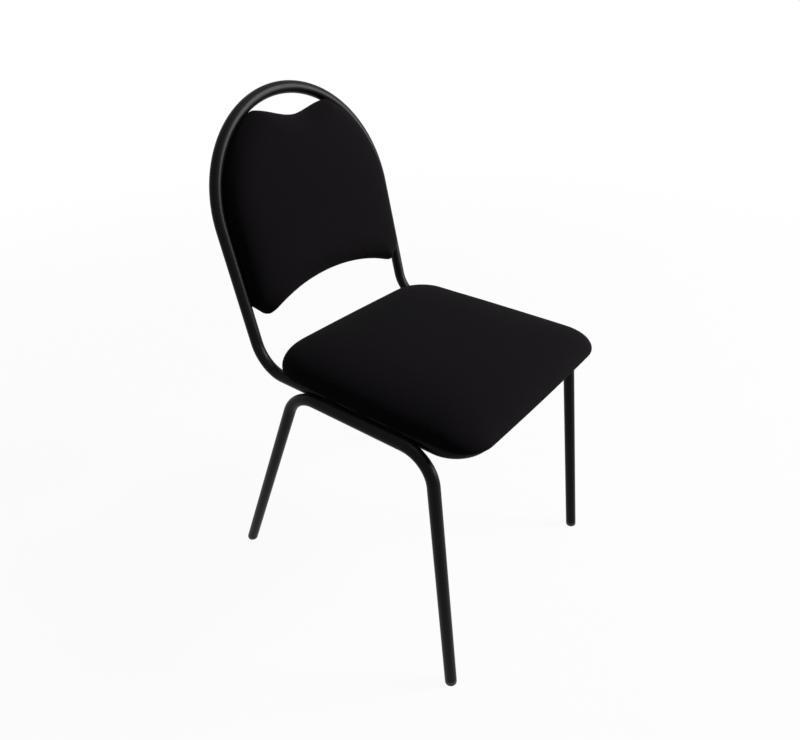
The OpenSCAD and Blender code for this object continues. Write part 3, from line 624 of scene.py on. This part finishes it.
def plain_weave(finish, across, along, pitch):
    """Height of a plain weave, 0 to 1: round warp and weft threads that pass over each other cell by cell.

    With a = sin(pi x) and b = sin(pi y), the product a b says which thread is on top in a cell.
    """
    a = (across * (math.pi / pitch)).sine()
    b = (along * (math.pi / pitch)).sine()
    over = a * b
    return (a.size() * (over * 0.5 + 0.5)).larger(b.size() * (over * -0.5 + 0.5))


CLOTH_PITCH = 0.0011


def woven_cloth(colours):
    """Plain black woven cloth: round threads, slubs along them, uneven dye, a soft nap, and painted shade
    where the threads dip under each other.
    """
    finish = Finish("black_cloth", Specular_IOR_Level=0.015, Sheen_Weight=0.008, Sheen_Roughness=0.6)
    flat = finish.node("ShaderNodeUVMap", {"uv_map": "cloth"}).outputs[0]
    across, along, _ = finish.parts(flat)
    place = finish.coordinates()
    drift = finish.noise(place, 60, 2) * 0.0009
    weave = plain_weave(finish, across + drift, along + drift, CLOTH_PITCH)
    slub = finish.noise(finish.node("ShaderNodeMapping", Vector=flat, Scale=(1, 0.12, 1)).outputs[0], 900, 2)
    dye = finish.noise(place, 9, 4, 0.6)
    # Painted shade: the weave's height darkens the colour between the threads; slub and dye add real random
    # tone on top.
    tone = weave * 0.62 + slub * 0.2 + dye * 0.25
    finish.bump(weave + slub * 0.4, 0.00022, 0.6)
    return finish.paint(
        Base_Color=finish.blend(tone, colours.cloth_low, colours.cloth_high), Roughness=0.96 - weave * 0.1)


LINING_PITCH = 0.0026


def lining_cloth(colours):
    """Black non-woven lining: matted fibres, pressed in rows of small points."""
    finish = Finish("black_lining", Specular_IOR_Level=0.12)
    place = finish.coordinates()
    x, y, _ = finish.parts(place)
    dots = ((x + y) * (math.pi / LINING_PITCH)).sine() * ((x - y) * (math.pi / LINING_PITCH)).sine()
    fibres = finish.noise(finish.coordinates(scale=(1, 0.35, 1)), 1400, 4, 0.7)
    pressed = dots.size().steps(0.55, 0.9)
    finish.bump(fibres - pressed * 0.7, 0.0002, 0.6)
    tone = finish.blend(fibres * 0.8 + pressed * 0.2, [c * 0.5 for c in colours.lining],
                        [c * 1.7 for c in colours.lining])
    return finish.paint(Base_Color=tone, Roughness=0.86 - pressed * 0.2)


def cap_plastic(colours):
    """Black moulded plastic with a fine grain, rubbed and dusty where it meets the floor."""
    finish = Finish("cap_plastic", Specular_IOR_Level=0.3)
    place = finish.coordinates()
    grain = finish.noise(place, 2200, 2)
    rubbed = (1 - finish.parts(place)[2].steps(0.0006, 0.006)) * finish.noise(place, 350, 3).steps(0.3, 0.7)
    finish.bump(grain, 0.00005, 0.5)
    tone = finish.blend(rubbed * 0.7, colours.cap, (0.06, 0.058, 0.055))
    return finish.paint(Base_Color=tone, Roughness=grain * 0.1 + rubbed * 0.25 + 0.42)


PLY_T = 0.0014


def plywood(colours, name, turn):
    """Birch plywood: long grain on the faces and dark glue lines across the edge, square to the board."""
    finish = Finish(name, Specular_IOR_Level=0.35)
    place = finish.coordinates(turn=turn)
    _, _, depth = finish.parts(place)
    drawn_out = finish.node("ShaderNodeMapping", Vector=place, Scale=(1, 0.06, 1)).outputs[0]
    grain = finish.noise(drawn_out, 260, 5, 0.65)
    plies = (depth * (math.pi / PLY_T)).sine().size().steps(0.0, 0.35)
    finish.bump(grain, 0.0001, 0.3)
    tone = finish.blend(grain.steps(0.35, 0.7) * 0.55 + (1 - plies) * 0.45, colours.wood, colours.wood_dark)
    return finish.paint(Base_Color=tone, Roughness=grain * 0.2 + 0.5)


def open_foam(colours):
    """Cream foam with open cells, with painted shade darkening the cells' hollows."""
    finish = Finish("cream_foam", Specular_IOR_Level=0.1)
    cells = Value(finish, finish.node(
        "ShaderNodeTexVoronoi", Vector=finish.coordinates(), Scale=700.0).outputs[0])
    finish.bump(cells, 0.0008, 0.8)
    # Painted shade: the colour darkens to 0.6 of the foam's own colour in the hollows of the cells.
    tone = finish.blend(cells.steps(0.1, 0.6), [c * 0.6 for c in colours.foam], colours.foam)
    return finish.paint(Base_Color=tone, Roughness=0.95 - cells * 0.05)


def plated_steel(colours):
    """Zinc-plated steel with a brushed grain and faint dull patches."""
    finish = Finish("plated_steel", Metallic=1.0)
    place = finish.coordinates()
    patches = finish.noise(place, 300, 4, 0.6)
    brushed = finish.noise(finish.coordinates(scale=(1, 1, 0.1)), 3000, 2)
    finish.bump(brushed, 0.00003, 0.4)
    tone = finish.blend(patches, [c * 0.75 for c in colours.steel], [min(1, c * 1.15) for c in colours.steel])
    return finish.paint(Base_Color=tone, Roughness=patches * 0.25 + 0.22)


MATERIALS = {}


def material(maker, colours, *more):
    """One material of a kind, made once and then shared."""
    key = (maker.__name__, *more[:1])
    if key not in MATERIALS:
        MATERIALS[key] = maker(colours, *more)
    return MATERIALS[key]


def coat_node(name, finish_material):
    """Gives a node of the frame its finish."""
    node = frame["nodes"][name]
    node.data.materials.clear()
    node.data.materials.append(finish_material)


class CHAIR_OT_tubes(bpy.types.Operator):
    """Adds the bent tubes, which are the seat and back frame and the two leg frames, and coats the cross tube
    and the tabs
    """
    bl_idname = "chair.tubes"
    bl_label = "Tubes"

    def execute(self, context):
        sizes, colours = context.scene.chair_frame, context.scene.chair_colours
        coat = material(powder_coat, colours)
        arch_r = sizes.seat_frame_w / 2
        radii = [0, sizes.front_corner_r, sizes.back_bend_r, arch_r, arch_r,
                 sizes.back_bend_r, sizes.front_corner_r, 0]
        piece = tube_piece("seat_and_back_tube", frame_corners(sizes), radii,
                           sizes.tube_d, sizes.tube_wall, sizes.bend_flattening)
        finished(piece, coat, "frame_tube", "back_seat_frame")
        leg_radii = [0, sizes.rear_bend_r, sizes.front_bend_r, 0]
        for side, mirror in (("right", 1), ("left", -1)):
            corners = leg_corners(sizes) * [mirror, 1, 1]
            piece = tube_piece(f"{side}_leg_tube", corners, leg_radii,
                               sizes.tube_d, sizes.tube_wall, sizes.bend_flattening)
            finished(piece, coat, "frame_tube", f"{side}_leg_frame")
        for name in ("rear_cross_tube", "seat_tabs", "back_tabs"):
            coat_node(name, coat)
        return {"FINISHED"}


BEAD_RISE = 0.5
BEAD_BLUNT = 6
BEAD_WAIST = 0.9
BEAD_LAP = 0.12
BEAD_EDGE = 0.7
BEAD_LEAN = 0.35


def bead(start, end, out, radius, ripples=9, columns=16, rows_each=6):
    """Weld bead along a line: a round bar with blunt ends, whose skin laps over itself ripple by ripple.

    At a share t of its length its radius is r (1 - |2 t - 1|^BEAD_BLUNT)^(1/2), times BEAD_WAIST plus
    BEAD_LAP sin(pi w)^BEAD_EDGE at a share w of each ripple. A ring leans forwards along the line by
    BEAD_LEAN r cos b at an angle b round it, so that the ripples are crescents.
    """
    start, end = np.asarray(start, float), np.asarray(end, float)
    way = unit(end - start)
    u = unit(out)
    v = np.cross(way, u)
    t = np.linspace(0, 1, ripples * rows_each + 1)[1:-1]
    saw = (t * ripples) % 1
    lap = BEAD_WAIST + BEAD_LAP * np.sin(np.pi * saw) ** BEAD_EDGE
    r = radius * (np.sqrt(1 - np.abs(2 * t - 1) ** BEAD_BLUNT) * lap)
    b = np.linspace(0, 2 * np.pi, columns, endpoint=False)
    crescent = BEAD_LEAN * radius * np.cos(b)[None, :] * np.ones_like(t)[:, None]
    ring = u * np.cos(b)[:, None] + v * np.sin(b)[:, None]
    line = (start + t[:, None] * (end - start))[:, None]
    surface = line + r[:, None, None] * ring[None] + crescent[..., None] * way
    points = np.vstack([surface.reshape(-1, 3), start[None], end[None]])
    rows = len(t)
    faces = [grid_faces(rows, columns), fan_faces(0, rows * columns, columns, True),
             fan_faces((rows - 1) * columns, rows * columns + 1, columns)]
    return points, faces


def joined(surfaces):
    """Several surfaces as one list of points and faces."""
    points, faces, so_far = [], [], 0
    for some, groups in surfaces:
        points.append(some)
        faces += [group + so_far for group in groups]
        so_far += len(some)
    return np.vstack(points), faces


class CHAIR_OT_welds(bpy.types.Operator):
    """Adds the weld beads between the rails and coats the weld round the joint in the front bar"""
    bl_idname = "chair.welds"
    bl_label = "Welds"

    def execute(self, context):
        sizes, colours = context.scene.chair_frame, context.scene.chair_colours
        coat = material(weld_coat, colours)
        rail_x, leg_x = sizes.seat_frame_w / 2, leg_rail_x(sizes)
        slope = math.atan2(sizes.rail_lift, leg_x - rail_x)
        low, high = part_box("right_rail_welds")
        tilt = math.cos(sizes.rail_tilt)
        first = (low.y - STANCE_Y) / tilt + sizes.bead_l / 2
        last = (high.y - STANCE_Y) / tilt - sizes.bead_l / 2
        for side, mirror in (("right", 1), ("left", -1)):
            surfaces = []
            for place in (0.0, 0.5, 1.0):
                middle_y = first + place * (last - first)
                for up in (1, -1):
                    out = np.array([math.sin(slope), 0, math.cos(slope)]) * up
                    middle = np.array([(rail_x + leg_x) / 2, middle_y, -sizes.rail_lift / 2]) \
                        + out * sizes.tube_d / 2 * BEAD_RISE
                    reach = np.array([0, sizes.bead_l / 2, 0])
                    ends = seat_place([middle - reach, middle + reach], sizes)
                    normal = seat_place(out, sizes) - seat_place([0, 0, 0], sizes)
                    surfaces.append(bead(ends[0], ends[1], normal, sizes.bead_r))
            points, faces = joined(surfaces)
            if mirror < 0:
                points, faces = points * [-1, 1, 1], [group[:, ::-1] for group in faces]
            piece = new_piece(f"{side}_weld_beads", points, faces, sharp=1.2)
            finished(piece, coat, "weld", f"{side}_rail_welds")
        coat_node("front_joint_weld", coat)
        return {"FINISHED"}


SHOULDER_SHARE = 0.8
HEM_ROWS = 5
ROLL_ROWS = 9
ROLL_POWER = 0.9


class PadForm:
    """Form of one pad: its outline, the point it is drawn in about, and the sizes of its section."""

    def __init__(self, outline, centre, half_w, side, crown, draw, slope, bulge, hem_w, power, pads):
        self.outline, self.centre, self.half_w = outline, centre, half_w
        self.side, self.crown, self.draw, self.slope = side, crown, draw, slope
        self.bulge, self.hem_w, self.power, self.pads = bulge, hem_w, power, pads

    def dome_rings(self, shoulder_rows=26, top_rows=28):
        """Rings of the dome, each a share s of the outline and a rise (1 - s^p)^(1/q) of its height.

        Here p is the pad's power and q the crown power. Rings crowd at the steep shoulder, by equal angles t
        with s = cos(t)^(2/p), and then follow by equal steps of s up to the middle.
        """
        turn = math.acos(SHOULDER_SHARE ** (self.power / 2))
        shoulder = np.cos(np.linspace(0, turn, shoulder_rows + 1)[1:]) ** (2 / self.power)
        widths = np.concatenate([shoulder, np.linspace(SHOULDER_SHARE, 0, top_rows + 1)[1:-1]])
        return np.stack([widths, (1 - widths ** self.power) ** (1 / self.pads.crown_power)], 1)

    def rings(self):
        """Rings of the whole skin, each a share of the outline, a height and a slope from front to rear.

        The hem lies flat, from its inner edge out to the drawn-in base. The roll is a quarter of a
        superellipse from the base out to the widest ring, and the dome stands on that. Up to half its
        height the dome swells out by the bulge times a half wave of the sine. The slack, times the rise, is
        taken off its height, for the cloth to swell by.
        """
        low = self.draw
        hem = np.stack([np.linspace(1 - self.hem_w / self.half_w, low, HEM_ROWS), np.zeros(HEM_ROWS)], 1)
        q = np.radians(np.linspace(0, 90, ROLL_ROWS + 1)[1:])
        roll = np.stack([low + (1 - low) * np.sin(q) ** ROLL_POWER,
                         self.side * (1 - np.cos(q) ** ROLL_POWER)], 1)
        widths, rise = self.dome_rings().T
        swell = self.bulge / self.half_w * np.sin(np.pi * np.clip(2 * rise, 0, 1))
        heights = self.side + (self.crown - self.pads.slack - self.side) * rise
        dome = np.stack([widths + swell, heights, self.slope * rise], 1)
        return np.vstack([np.pad(hem, ((0, 0), (0, 1))), np.pad(roll, ((0, 0), (0, 1))), dome])

    def free_share(self, heights):
        """Share of the swelling that the cloth is free to make at a height: none at the hem, all above it."""
        return np.clip(np.asarray(heights) / self.pads.puff_rise, 0, 1)

    def ringed(self, rings):
        """Points of every ring: the outline drawn in to its share, at its height, tilted by its slope."""
        flat = self.centre + rings[:, 0, None, None] * (self.outline - self.centre)[None]
        heights = rings[:, 1, None] + rings[:, 2, None] * (flat[..., 1] - self.centre[1])
        return np.concatenate([flat, heights[..., None]], 2)

    def skin(self, name, place):
        """Open skin of the pad: its outline drawn in to each ring's share, closed by a fan at the crown.

        The cloth's own coordinates are the outline's direction from the centre times the length of skin from
        the crown, so that threads run on over the shoulder without stretching.
        """
        surface = self.ringed(self.rings())
        apex = np.array([*self.centre, self.crown - self.pads.slack])
        steps = np.linalg.norm(np.diff(np.concatenate(
            [surface, np.broadcast_to(apex, (1, *surface.shape[1:]))]), axis=0), axis=2)
        from_apex = np.cumsum(steps[::-1], axis=0)[::-1]
        uv = unit(self.outline - self.centre)[None] * from_apex[..., None] + self.centre
        rows, columns = surface.shape[:2]
        points = place(np.vstack([surface.reshape(-1, 3), apex, [*self.centre, 0]]))
        faces = [grid_faces(rows, columns), fan_faces((rows - 1) * columns, rows * columns, columns)]
        closing = fan_faces(0, rows * columns + 1, columns, True)
        piece = new_piece(name, points[:-1], faces, np.vstack([uv.reshape(-1, 2), self.centre]), sharp=1.2)
        return piece, (points, [*faces, closing])


def evaluated_copy(piece, name):
    """A new object from a piece's mesh as its modifiers leave it."""
    graph = bpy.context.evaluated_depsgraph_get()
    mesh = bpy.data.meshes.new_from_object(piece.evaluated_get(graph))
    copy = bpy.data.objects.new(name, mesh)
    bpy.context.scene.collection.objects.link(copy)
    return copy


def removed(*objects):
    """Deletes helper objects with their meshes."""
    for item in objects:
        mesh = item.data
        bpy.data.objects.remove(item)
        bpy.data.meshes.remove(mesh)


CLOTH_QUALITY = 5
CLOTH_MASS = 0.3
CLOTH_STIFFNESS = 60
CLOTH_PRESSURE = 1.0
RELAX_FACTOR = 0.5
RELAX_PASSES = 6


def swollen(name, closed, pads):
    """Closed form of a pad, blown up for a few frames as cloth under pressure and then smoothed."""
    solid = new_piece(name + "_closed", *closed)
    remesh = solid.modifiers.new("Remesh", "REMESH")
    remesh.mode, remesh.voxel_size = "VOXEL", pads.voxel
    cloth_piece = evaluated_copy(solid, name + "_cloth")
    cloth = cloth_piece.modifiers.new("Cloth", "CLOTH")
    cloth.settings.quality = CLOTH_QUALITY
    cloth.settings.mass = CLOTH_MASS
    cloth.settings.tension_stiffness = cloth.settings.compression_stiffness = CLOTH_STIFFNESS
    cloth.settings.use_pressure = True
    cloth.settings.uniform_pressure_force = CLOTH_PRESSURE
    cloth.settings.effector_weights.gravity = 0
    for now in range(1, pads.sim_frames + 1):
        bpy.context.scene.frame_set(now)
    relax = cloth_piece.modifiers.new("Relax", "SMOOTH")
    relax.factor, relax.iterations = RELAX_FACTOR, RELAX_PASSES
    result = evaluated_copy(cloth_piece, name + "_target")
    bpy.context.scene.frame_set(1)
    removed(solid, cloth_piece)
    return result


SMOOTH_PASSES = 12


def smoothed(steps, passes=SMOOTH_PASSES):
    """Averages a grid of steps with its four neighbours; its columns close on themselves, its rows do not."""
    for _ in range(passes):
        ends = np.concatenate([steps[:1], steps, steps[-1:]])
        steps = (steps * 2 + ends[:-2] + ends[2:] + np.roll(steps, 1, 1) + np.roll(steps, -1, 1)) / 6
    return steps


def swelling(piece, target):
    """How far each point of a skin lies inside a swollen form, along its own normal."""
    count = len(piece.data.vertices)
    before, after, facing = (np.zeros(count * 3) for _ in range(3))
    piece.data.vertices.foreach_get("co", before)
    piece.data.vertices.foreach_get("normal", facing)
    wrap = piece.modifiers.new("Wrap", "SHRINKWRAP")
    wrap.wrap_method, wrap.target = "NEAREST_SURFACEPOINT", target
    moved = evaluated_copy(piece, "moved")
    moved.data.vertices.foreach_get("co", after)
    piece.modifiers.remove(wrap)
    removed(moved)
    before, after, facing = (part.reshape(-1, 3) for part in (before, after, facing))
    return before, facing, ((after - before) * facing).sum(1)


def drawn_to(piece, target, form):
    """Moves a pad's skin out along its normals to the swollen form: at most by the puff, not at the hem."""
    before, facing, out = swelling(piece, target)
    rings = form.rings()
    grid = smoothed(np.clip(out[:-1], 0, form.pads.puff).reshape(len(rings), -1))
    grid *= form.free_share(rings[:, 1])[:, None]
    step = np.append(grid.ravel(), grid[-1].mean())
    piece.data.vertices.foreach_set("co", (before + step[:, None] * facing).ravel())
    piece.data.update()


PAD_COLUMNS = 240
LINING_COLUMNS = 160


def upholstered(name, form, place):
    """Cover of a pad: its skin, drawn to a simulated form, then given the cloth's thickness inwards."""
    piece, closed = form.skin(name, place)
    target = swollen(name, closed, form.pads)
    drawn_to(piece, target, form)
    removed(target)
    wall = piece.modifiers.new("Wall", "SOLIDIFY")
    wall.thickness, wall.offset, wall.use_rim = form.pads.cover_t, -1, True
    return piece


def stuffing(name, form, board_top, place):
    """Foam between a board and its cover: the pad's form one skin smaller, closed flat on the board."""
    skin = form.pads.cover_t + form.pads.stuffing_gap + form.pads.slack
    widths, rise = form.dome_rings().T * [[1 - skin / form.half_w], [1]]
    heights = form.side + (form.crown - skin - form.side) * rise
    above = heights > board_top + abs(form.slope) * form.half_w
    base = np.interp(board_top, heights, widths)
    rings = np.vstack([[base, board_top, 0], np.stack([widths, heights, form.slope * rise], 1)[above]])
    surface = form.ringed(rings)
    rows, columns = surface.shape[:2]
    points = np.vstack([surface.reshape(-1, 3), [[*form.centre, board_top]],
                        [[*form.centre, form.crown - skin]]])
    faces = [grid_faces(rows, columns), fan_faces(0, rows * columns, columns, True),
             fan_faces((rows - 1) * columns, rows * columns + 1, columns)]
    return new_piece(name, place(points), faces)


def seat_centre(pads):
    """Point of the seat's plane that its pad is drawn in about."""
    return np.array([0, (pads.seat_rear - pads.seat_front) / 2])


def pad_centre(pads, sizes):
    """Point of the back's plane that its pad is drawn in about, midway between its arch and its dip."""
    return np.array([0, (pads.pad_arch_s + float(dip_height(0, pads, sizes))) / 2])


class CHAIR_OT_seat_pad(bpy.types.Operator):
    """Adds the seat pad: its cover and foam, with a finish for its board"""
    bl_idname = "chair.seat_pad"
    bl_label = "Seat pad"

    def execute(self, context):
        scene = context.scene
        sizes, pads, colours = scene.chair_frame, scene.chair_pads, scene.chair_colours
        form = PadForm(
            outline=seat_outline(pads, PAD_COLUMNS), centre=seat_centre(pads), half_w=pads.seat_w / 2,
            side=pads.seat_side_h, crown=pads.seat_crown, draw=pads.seat_draw,
            slope=2 * pads.seat_fall / (pads.seat_rear + pads.seat_front), bulge=0,
            hem_w=pads.seat_hem_w, power=pads.seat_power, pads=pads)

        def place(points):
            return seat_place(points + [0, 0, sizes.tube_d / 2], sizes)

        cover = upholstered("seat_cushion", form, place)
        finished(cover, material(woven_cloth, colours), "upholstery", "seat_cover")
        foam = stuffing("seat_foam_pad", form, pads.cover_t + pads.seat_board_t, place)
        finished(foam, material(open_foam, colours), "foam", "seat_foam")
        coat_node("seat_board", material(plywood, colours, "seat_plywood", (sizes.rail_tilt, 0, 0)))
        return {"FINISHED"}


class CHAIR_OT_back_pad(bpy.types.Operator):
    """Adds the back pad: its cover and foam, with a finish for its board"""
    bl_idname = "chair.back_pad"
    bl_label = "Back pad"

    def execute(self, context):
        scene = context.scene
        sizes, pads, colours = scene.chair_frame, scene.chair_pads, scene.chair_colours
        form = PadForm(
            outline=pad_outline(pads, sizes, PAD_COLUMNS), centre=pad_centre(pads, sizes),
            half_w=pad_half_w(pads, sizes), side=pads.pad_side_h, crown=pads.pad_crown,
            draw=pads.pad_draw, slope=0, bulge=pads.pad_bulge, hem_w=pads.back_hem_w,
            power=pads.back_power, pads=pads)

        def place(points):
            return back_place(points, sizes)

        cover = upholstered("back_cushion", form, place)
        finished(cover, material(woven_cloth, colours), "upholstery", "back_cover")
        foam = stuffing("back_foam_pad", form, pads.cover_t + pads.back_board_t, place)
        finished(foam, material(open_foam, colours), "foam", "back_foam")
        turn = (sizes.recline - math.pi / 2, 0, 0)
        coat_node("back_board", material(plywood, colours, "back_plywood", turn))
        return {"FINISHED"}


EDGE_RIPPLES = ((31, 1.0, 0.0), (19, 0.6, 1.3))
RIPPLE_HEIGHT = 1.5
RIPPLE_EDGE = 8


def cloth_sheet(name, outline, centre, thickness, sag, place, rows=30):
    """Thin sheet with its outline held: at a share s it sags by sag (1 - s^2)^2 and ripples near its edge.

    The ripples are sines of the angle round the centre, each with its waves, share and phase, times
    RIPPLE_HEIGHT sag s^RIPPLE_EDGE (1 - s).
    """
    s = np.linspace(1, 0, rows, endpoint=False)[:, None]
    across = outline - centre
    angle = np.arctan2(across[:, 1], across[:, 0])[None]
    waves = sum(part * np.sin(count * angle + phase) for count, part, phase in EDGE_RIPPLES)
    ripple = waves * s ** RIPPLE_EDGE * (1 - s)
    flat = centre + s[..., None] * across[None]
    heights = sag * (ripple * RIPPLE_HEIGHT - (1 - s ** 2) ** 2)
    surface = np.concatenate([flat, heights[..., None]], 2)
    points = np.vstack([surface.reshape(-1, 3), [[*centre, -sag]]])
    columns = len(outline)
    faces = [grid_faces(rows, columns), fan_faces((rows - 1) * columns, rows * columns, columns)]
    piece = new_piece(name, place(points), faces, points[:, :2])
    wall = piece.modifiers.new("Wall", "SOLIDIFY")
    wall.thickness, wall.offset, wall.use_rim = thickness, -1, True
    return piece


class CHAIR_OT_linings(bpy.types.Operator):
    """Adds the lining under the seat and the closing cloth behind the back pad"""
    bl_idname = "chair.linings"
    bl_label = "Linings"

    def execute(self, context):
        scene = context.scene
        sizes, pads, colours = scene.chair_frame, scene.chair_pads, scene.chair_colours
        half_w = sizes.seat_frame_w / 2 - pads.dust_side_gap
        radius = pads.dust_corner_r
        plan = rounded_plan(half_w, sizes.rail_front - pads.dust_front_gap,
                            pads.seat_rear - pads.dust_rear_inset, radius, radius, LINING_COLUMNS)

        def under_seat(points):
            return seat_place(points + [0, 0, sizes.tube_d / 2], sizes)

        lining = cloth_sheet("seat_lining", plan, seat_centre(pads), pads.dust_cloth_t, pads.dust_sag,
                             under_seat)
        finished(lining, material(lining_cloth, colours), "lining", "seat_dust_cloth")

        centre = pad_centre(pads, sizes)
        drawn_in = 1 - pads.closing_inset / pad_half_w(pads, sizes)
        inner = centre + drawn_in * (pad_outline(pads, sizes, LINING_COLUMNS) - centre)

        def behind_pad(points):
            return back_place(points, sizes)

        closing = cloth_sheet("back_closing_cloth", inner, centre, pads.closing_t, 0, behind_pad)
        finished(closing, material(woven_cloth, colours), "upholstery", "back_rear_panel")
        return {"FINISHED"}


class CHAIR_OT_fittings(bpy.types.Operator):
    """Gives the foot caps, bolts, washers, inserts and staples their finishes"""
    bl_idname = "chair.fittings"
    bl_label = "Fittings"

    def execute(self, context):
        colours = context.scene.chair_colours
        for end in ("front", "rear"):
            for side in ("left", "right"):
                coat_node(f"{end}_{side}_foot", material(cap_plastic, colours))
        for pad in ("seat", "back"):
            for kind in ("staples", "t_nuts", "bolts", "washers"):
                coat_node(f"{pad}_{kind}", material(plated_steel, colours))
        return {"FINISHED"}


CAMERA_AT = (-0.703, -0.5362 + STANCE_Y, 0.9345)
CAMERA_YAW, CAMERA_PITCH, CAMERA_ROLL = 0.8907, 0.5505, 0.0046
PICTURE_W, PICTURE_H = 800, 740
FOCAL_PX = 605.4
CENTRE_PX = (400.4, 366.9)
SENSOR_MM = 36


def add_camera(scene):
    """Camera of the photograph: a focal length in pixels, a place, and a yaw, pitch and roll."""
    ahead = np.array([math.sin(CAMERA_YAW) * math.cos(CAMERA_PITCH),
                      math.cos(CAMERA_YAW) * math.cos(CAMERA_PITCH), -math.sin(CAMERA_PITCH)])
    right = np.array([math.cos(CAMERA_YAW), -math.sin(CAMERA_YAW), 0])
    down = np.cross(ahead, right)
    c, s = math.cos(CAMERA_ROLL), math.sin(CAMERA_ROLL)
    right, down = c * right + s * down, c * down - s * right
    data = bpy.data.cameras.new("camera")
    data.sensor_width = SENSOR_MM
    data.lens = FOCAL_PX / PICTURE_W * SENSOR_MM
    data.shift_x = (PICTURE_W / 2 - CENTRE_PX[0]) / PICTURE_W
    data.shift_y = (CENTRE_PX[1] - PICTURE_H / 2) / PICTURE_W
    camera = bpy.data.objects.new("camera", data)
    axes = Matrix([right, -down, -ahead]).transposed().to_4x4()
    camera.matrix_world = Matrix.Translation(CAMERA_AT) @ axes
    scene.collection.objects.link(camera)
    scene.camera = camera


LAMP_AIM = (0, 0, 0.45)


def add_lamp(scene, name, place, wide, high, watts, tint):
    """Soft rectangular lamp that faces the chair."""
    data = bpy.data.lights.new(name, "AREA")
    data.shape, data.size, data.size_y, data.energy, data.color = "RECTANGLE", wide, high, watts, tint
    lamp = bpy.data.objects.new(name, data)
    lamp.location = place
    lamp.rotation_euler = (Vector(LAMP_AIM) - Vector(place)).to_track_quat("-Z", "Y").to_euler()
    scene.collection.objects.link(lamp)
    return lamp


SKY_STRENGTH = 0.10
SKY_COLOUR = (0.90, 0.86, 1.0, 1)
WHITE = (1, 1, 1, 1)


def add_world(scene):
    """Dim sky that lights the chair, and plain white where it is seen directly."""
    world = bpy.data.worlds.new("pale_room")
    scene.world = world
    world.use_nodes = True
    nodes = Nodes(world.node_tree)
    sky = nodes.tree.nodes["Background"]
    nodes.feed(sky.inputs["Color"], SKY_COLOUR)
    nodes.feed(sky.inputs["Strength"], SKY_STRENGTH)
    white = nodes.node("ShaderNodeBackground", Color=WHITE)
    either = nodes.mixed(nodes.seen_directly(), sky.outputs[0], white.outputs[0])
    nodes.feed(nodes.tree.nodes["World Output"].inputs["Surface"], either)


FLOOR_HALF = 14.0
FLOOR_WHITE = 0.55
FLOOR_GLOW = 0.95
GLOW_NEAR, GLOW_FAR = 0.8, 3.5


def add_floor(scene):
    """Pale floor that keeps the chair's shadow near it and glows fully white from GLOW_FAR on."""
    mesh = bpy.data.meshes.new("floor")
    corners = [(-1, -1), (1, -1), (1, 1), (-1, 1)]
    mesh.from_pydata([(x * FLOOR_HALF, y * FLOOR_HALF, 0) for x, y in corners], [], [(0, 1, 2, 3)])
    floor = bpy.data.objects.new("floor", mesh)
    scene.collection.objects.link(floor)
    finish = Finish("pale_floor", Roughness=0.9, Specular_IOR_Level=0.0)
    finish.paint(Base_Color=(FLOOR_WHITE, FLOOR_WHITE, FLOOR_WHITE, 1))
    glow = finish.node("ShaderNodeEmission", Color=WHITE, Strength=1.0)
    x, y, _ = finish.parts(finish.coordinates())
    far = (x * x + y * y).maths("SQRT").steps(GLOW_NEAR, GLOW_FAR)
    glowing = finish.seen_directly() * (far * (1 - FLOOR_GLOW) + FLOOR_GLOW)
    output = next(n for n in finish.tree.nodes if n.type == "OUTPUT_MATERIAL")
    finish.feed(output.inputs["Surface"], finish.mixed(glowing, finish.shader.outputs[0], glow.outputs[0]))
    mesh.materials.append(finish.material)


class CHAIR_OT_stage(bpy.types.Operator):
    """Adds the camera, lamps, pale world and floor"""
    bl_idname = "chair.stage"
    bl_label = "Stage"

    def execute(self, context):
        scene = context.scene
        scene.view_settings.view_transform = "Standard"
        add_camera(scene)
        add_lamp(scene, "key", (1.95, -2.10, 2.75), 0.95, 0.95, 170, (1.0, 0.975, 0.94))
        add_lamp(scene, "top", (0.45, -0.35, 3.3), 1.2, 1.2, 12, (0.95, 0.96, 1.0))
        window = add_lamp(scene, "window", (2.20, -2.45, 1.30), 1.3, 1.6, 190, (1.0, 0.98, 0.96))
        window.visible_diffuse = False
        add_world(scene)
        add_floor(scene)
        return {"FINISHED"}


OPERATORS = (CHAIR_OT_stage, CHAIR_OT_tubes, CHAIR_OT_welds, CHAIR_OT_seat_pad, CHAIR_OT_back_pad,
             CHAIR_OT_linings, CHAIR_OT_fittings)


class CHAIR_PT_panel(bpy.types.Panel):
    """Lists the chair's pieces in the sidebar"""
    bl_idname = "CHAIR_PT_panel"
    bl_label = "Choir Chair"
    bl_space_type = "VIEW_3D"
    bl_region_type = "UI"
    bl_category = "Chair"

    def draw(self, context):
        for operator in OPERATORS:
            self.layout.operator(operator.bl_idname)
        for group in (context.scene.chair_frame, context.scene.chair_pads, context.scene.chair_colours):
            box = self.layout.box()
            for name in group.__annotations__:
                box.prop(group, name)


GROUPS = {"chair_frame": ChairFrameSizes, "chair_pads": ChairPadSizes, "chair_colours": ChairColours}


def register():
    for cls in (*GROUPS.values(), *OPERATORS, CHAIR_PT_panel):
        bpy.utils.register_class(cls)
    for name, group in GROUPS.items():
        setattr(bpy.types.Scene, name, PointerProperty(type=group))


def unregister():
    for name in GROUPS:
        delattr(bpy.types.Scene, name)
    for cls in (CHAIR_PT_panel, *OPERATORS[::-1], *list(GROUPS.values())[::-1]):
        bpy.utils.unregister_class(cls)


def main():
    """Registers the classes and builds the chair."""
    register()
    bpy.ops.chair.stage()
    bpy.ops.chair.tubes()
    bpy.ops.chair.welds()
    bpy.ops.chair.seat_pad()
    bpy.ops.chair.back_pad()
    bpy.ops.chair.linings()
    bpy.ops.chair.fittings()


if __name__ == "__main__":
    main()
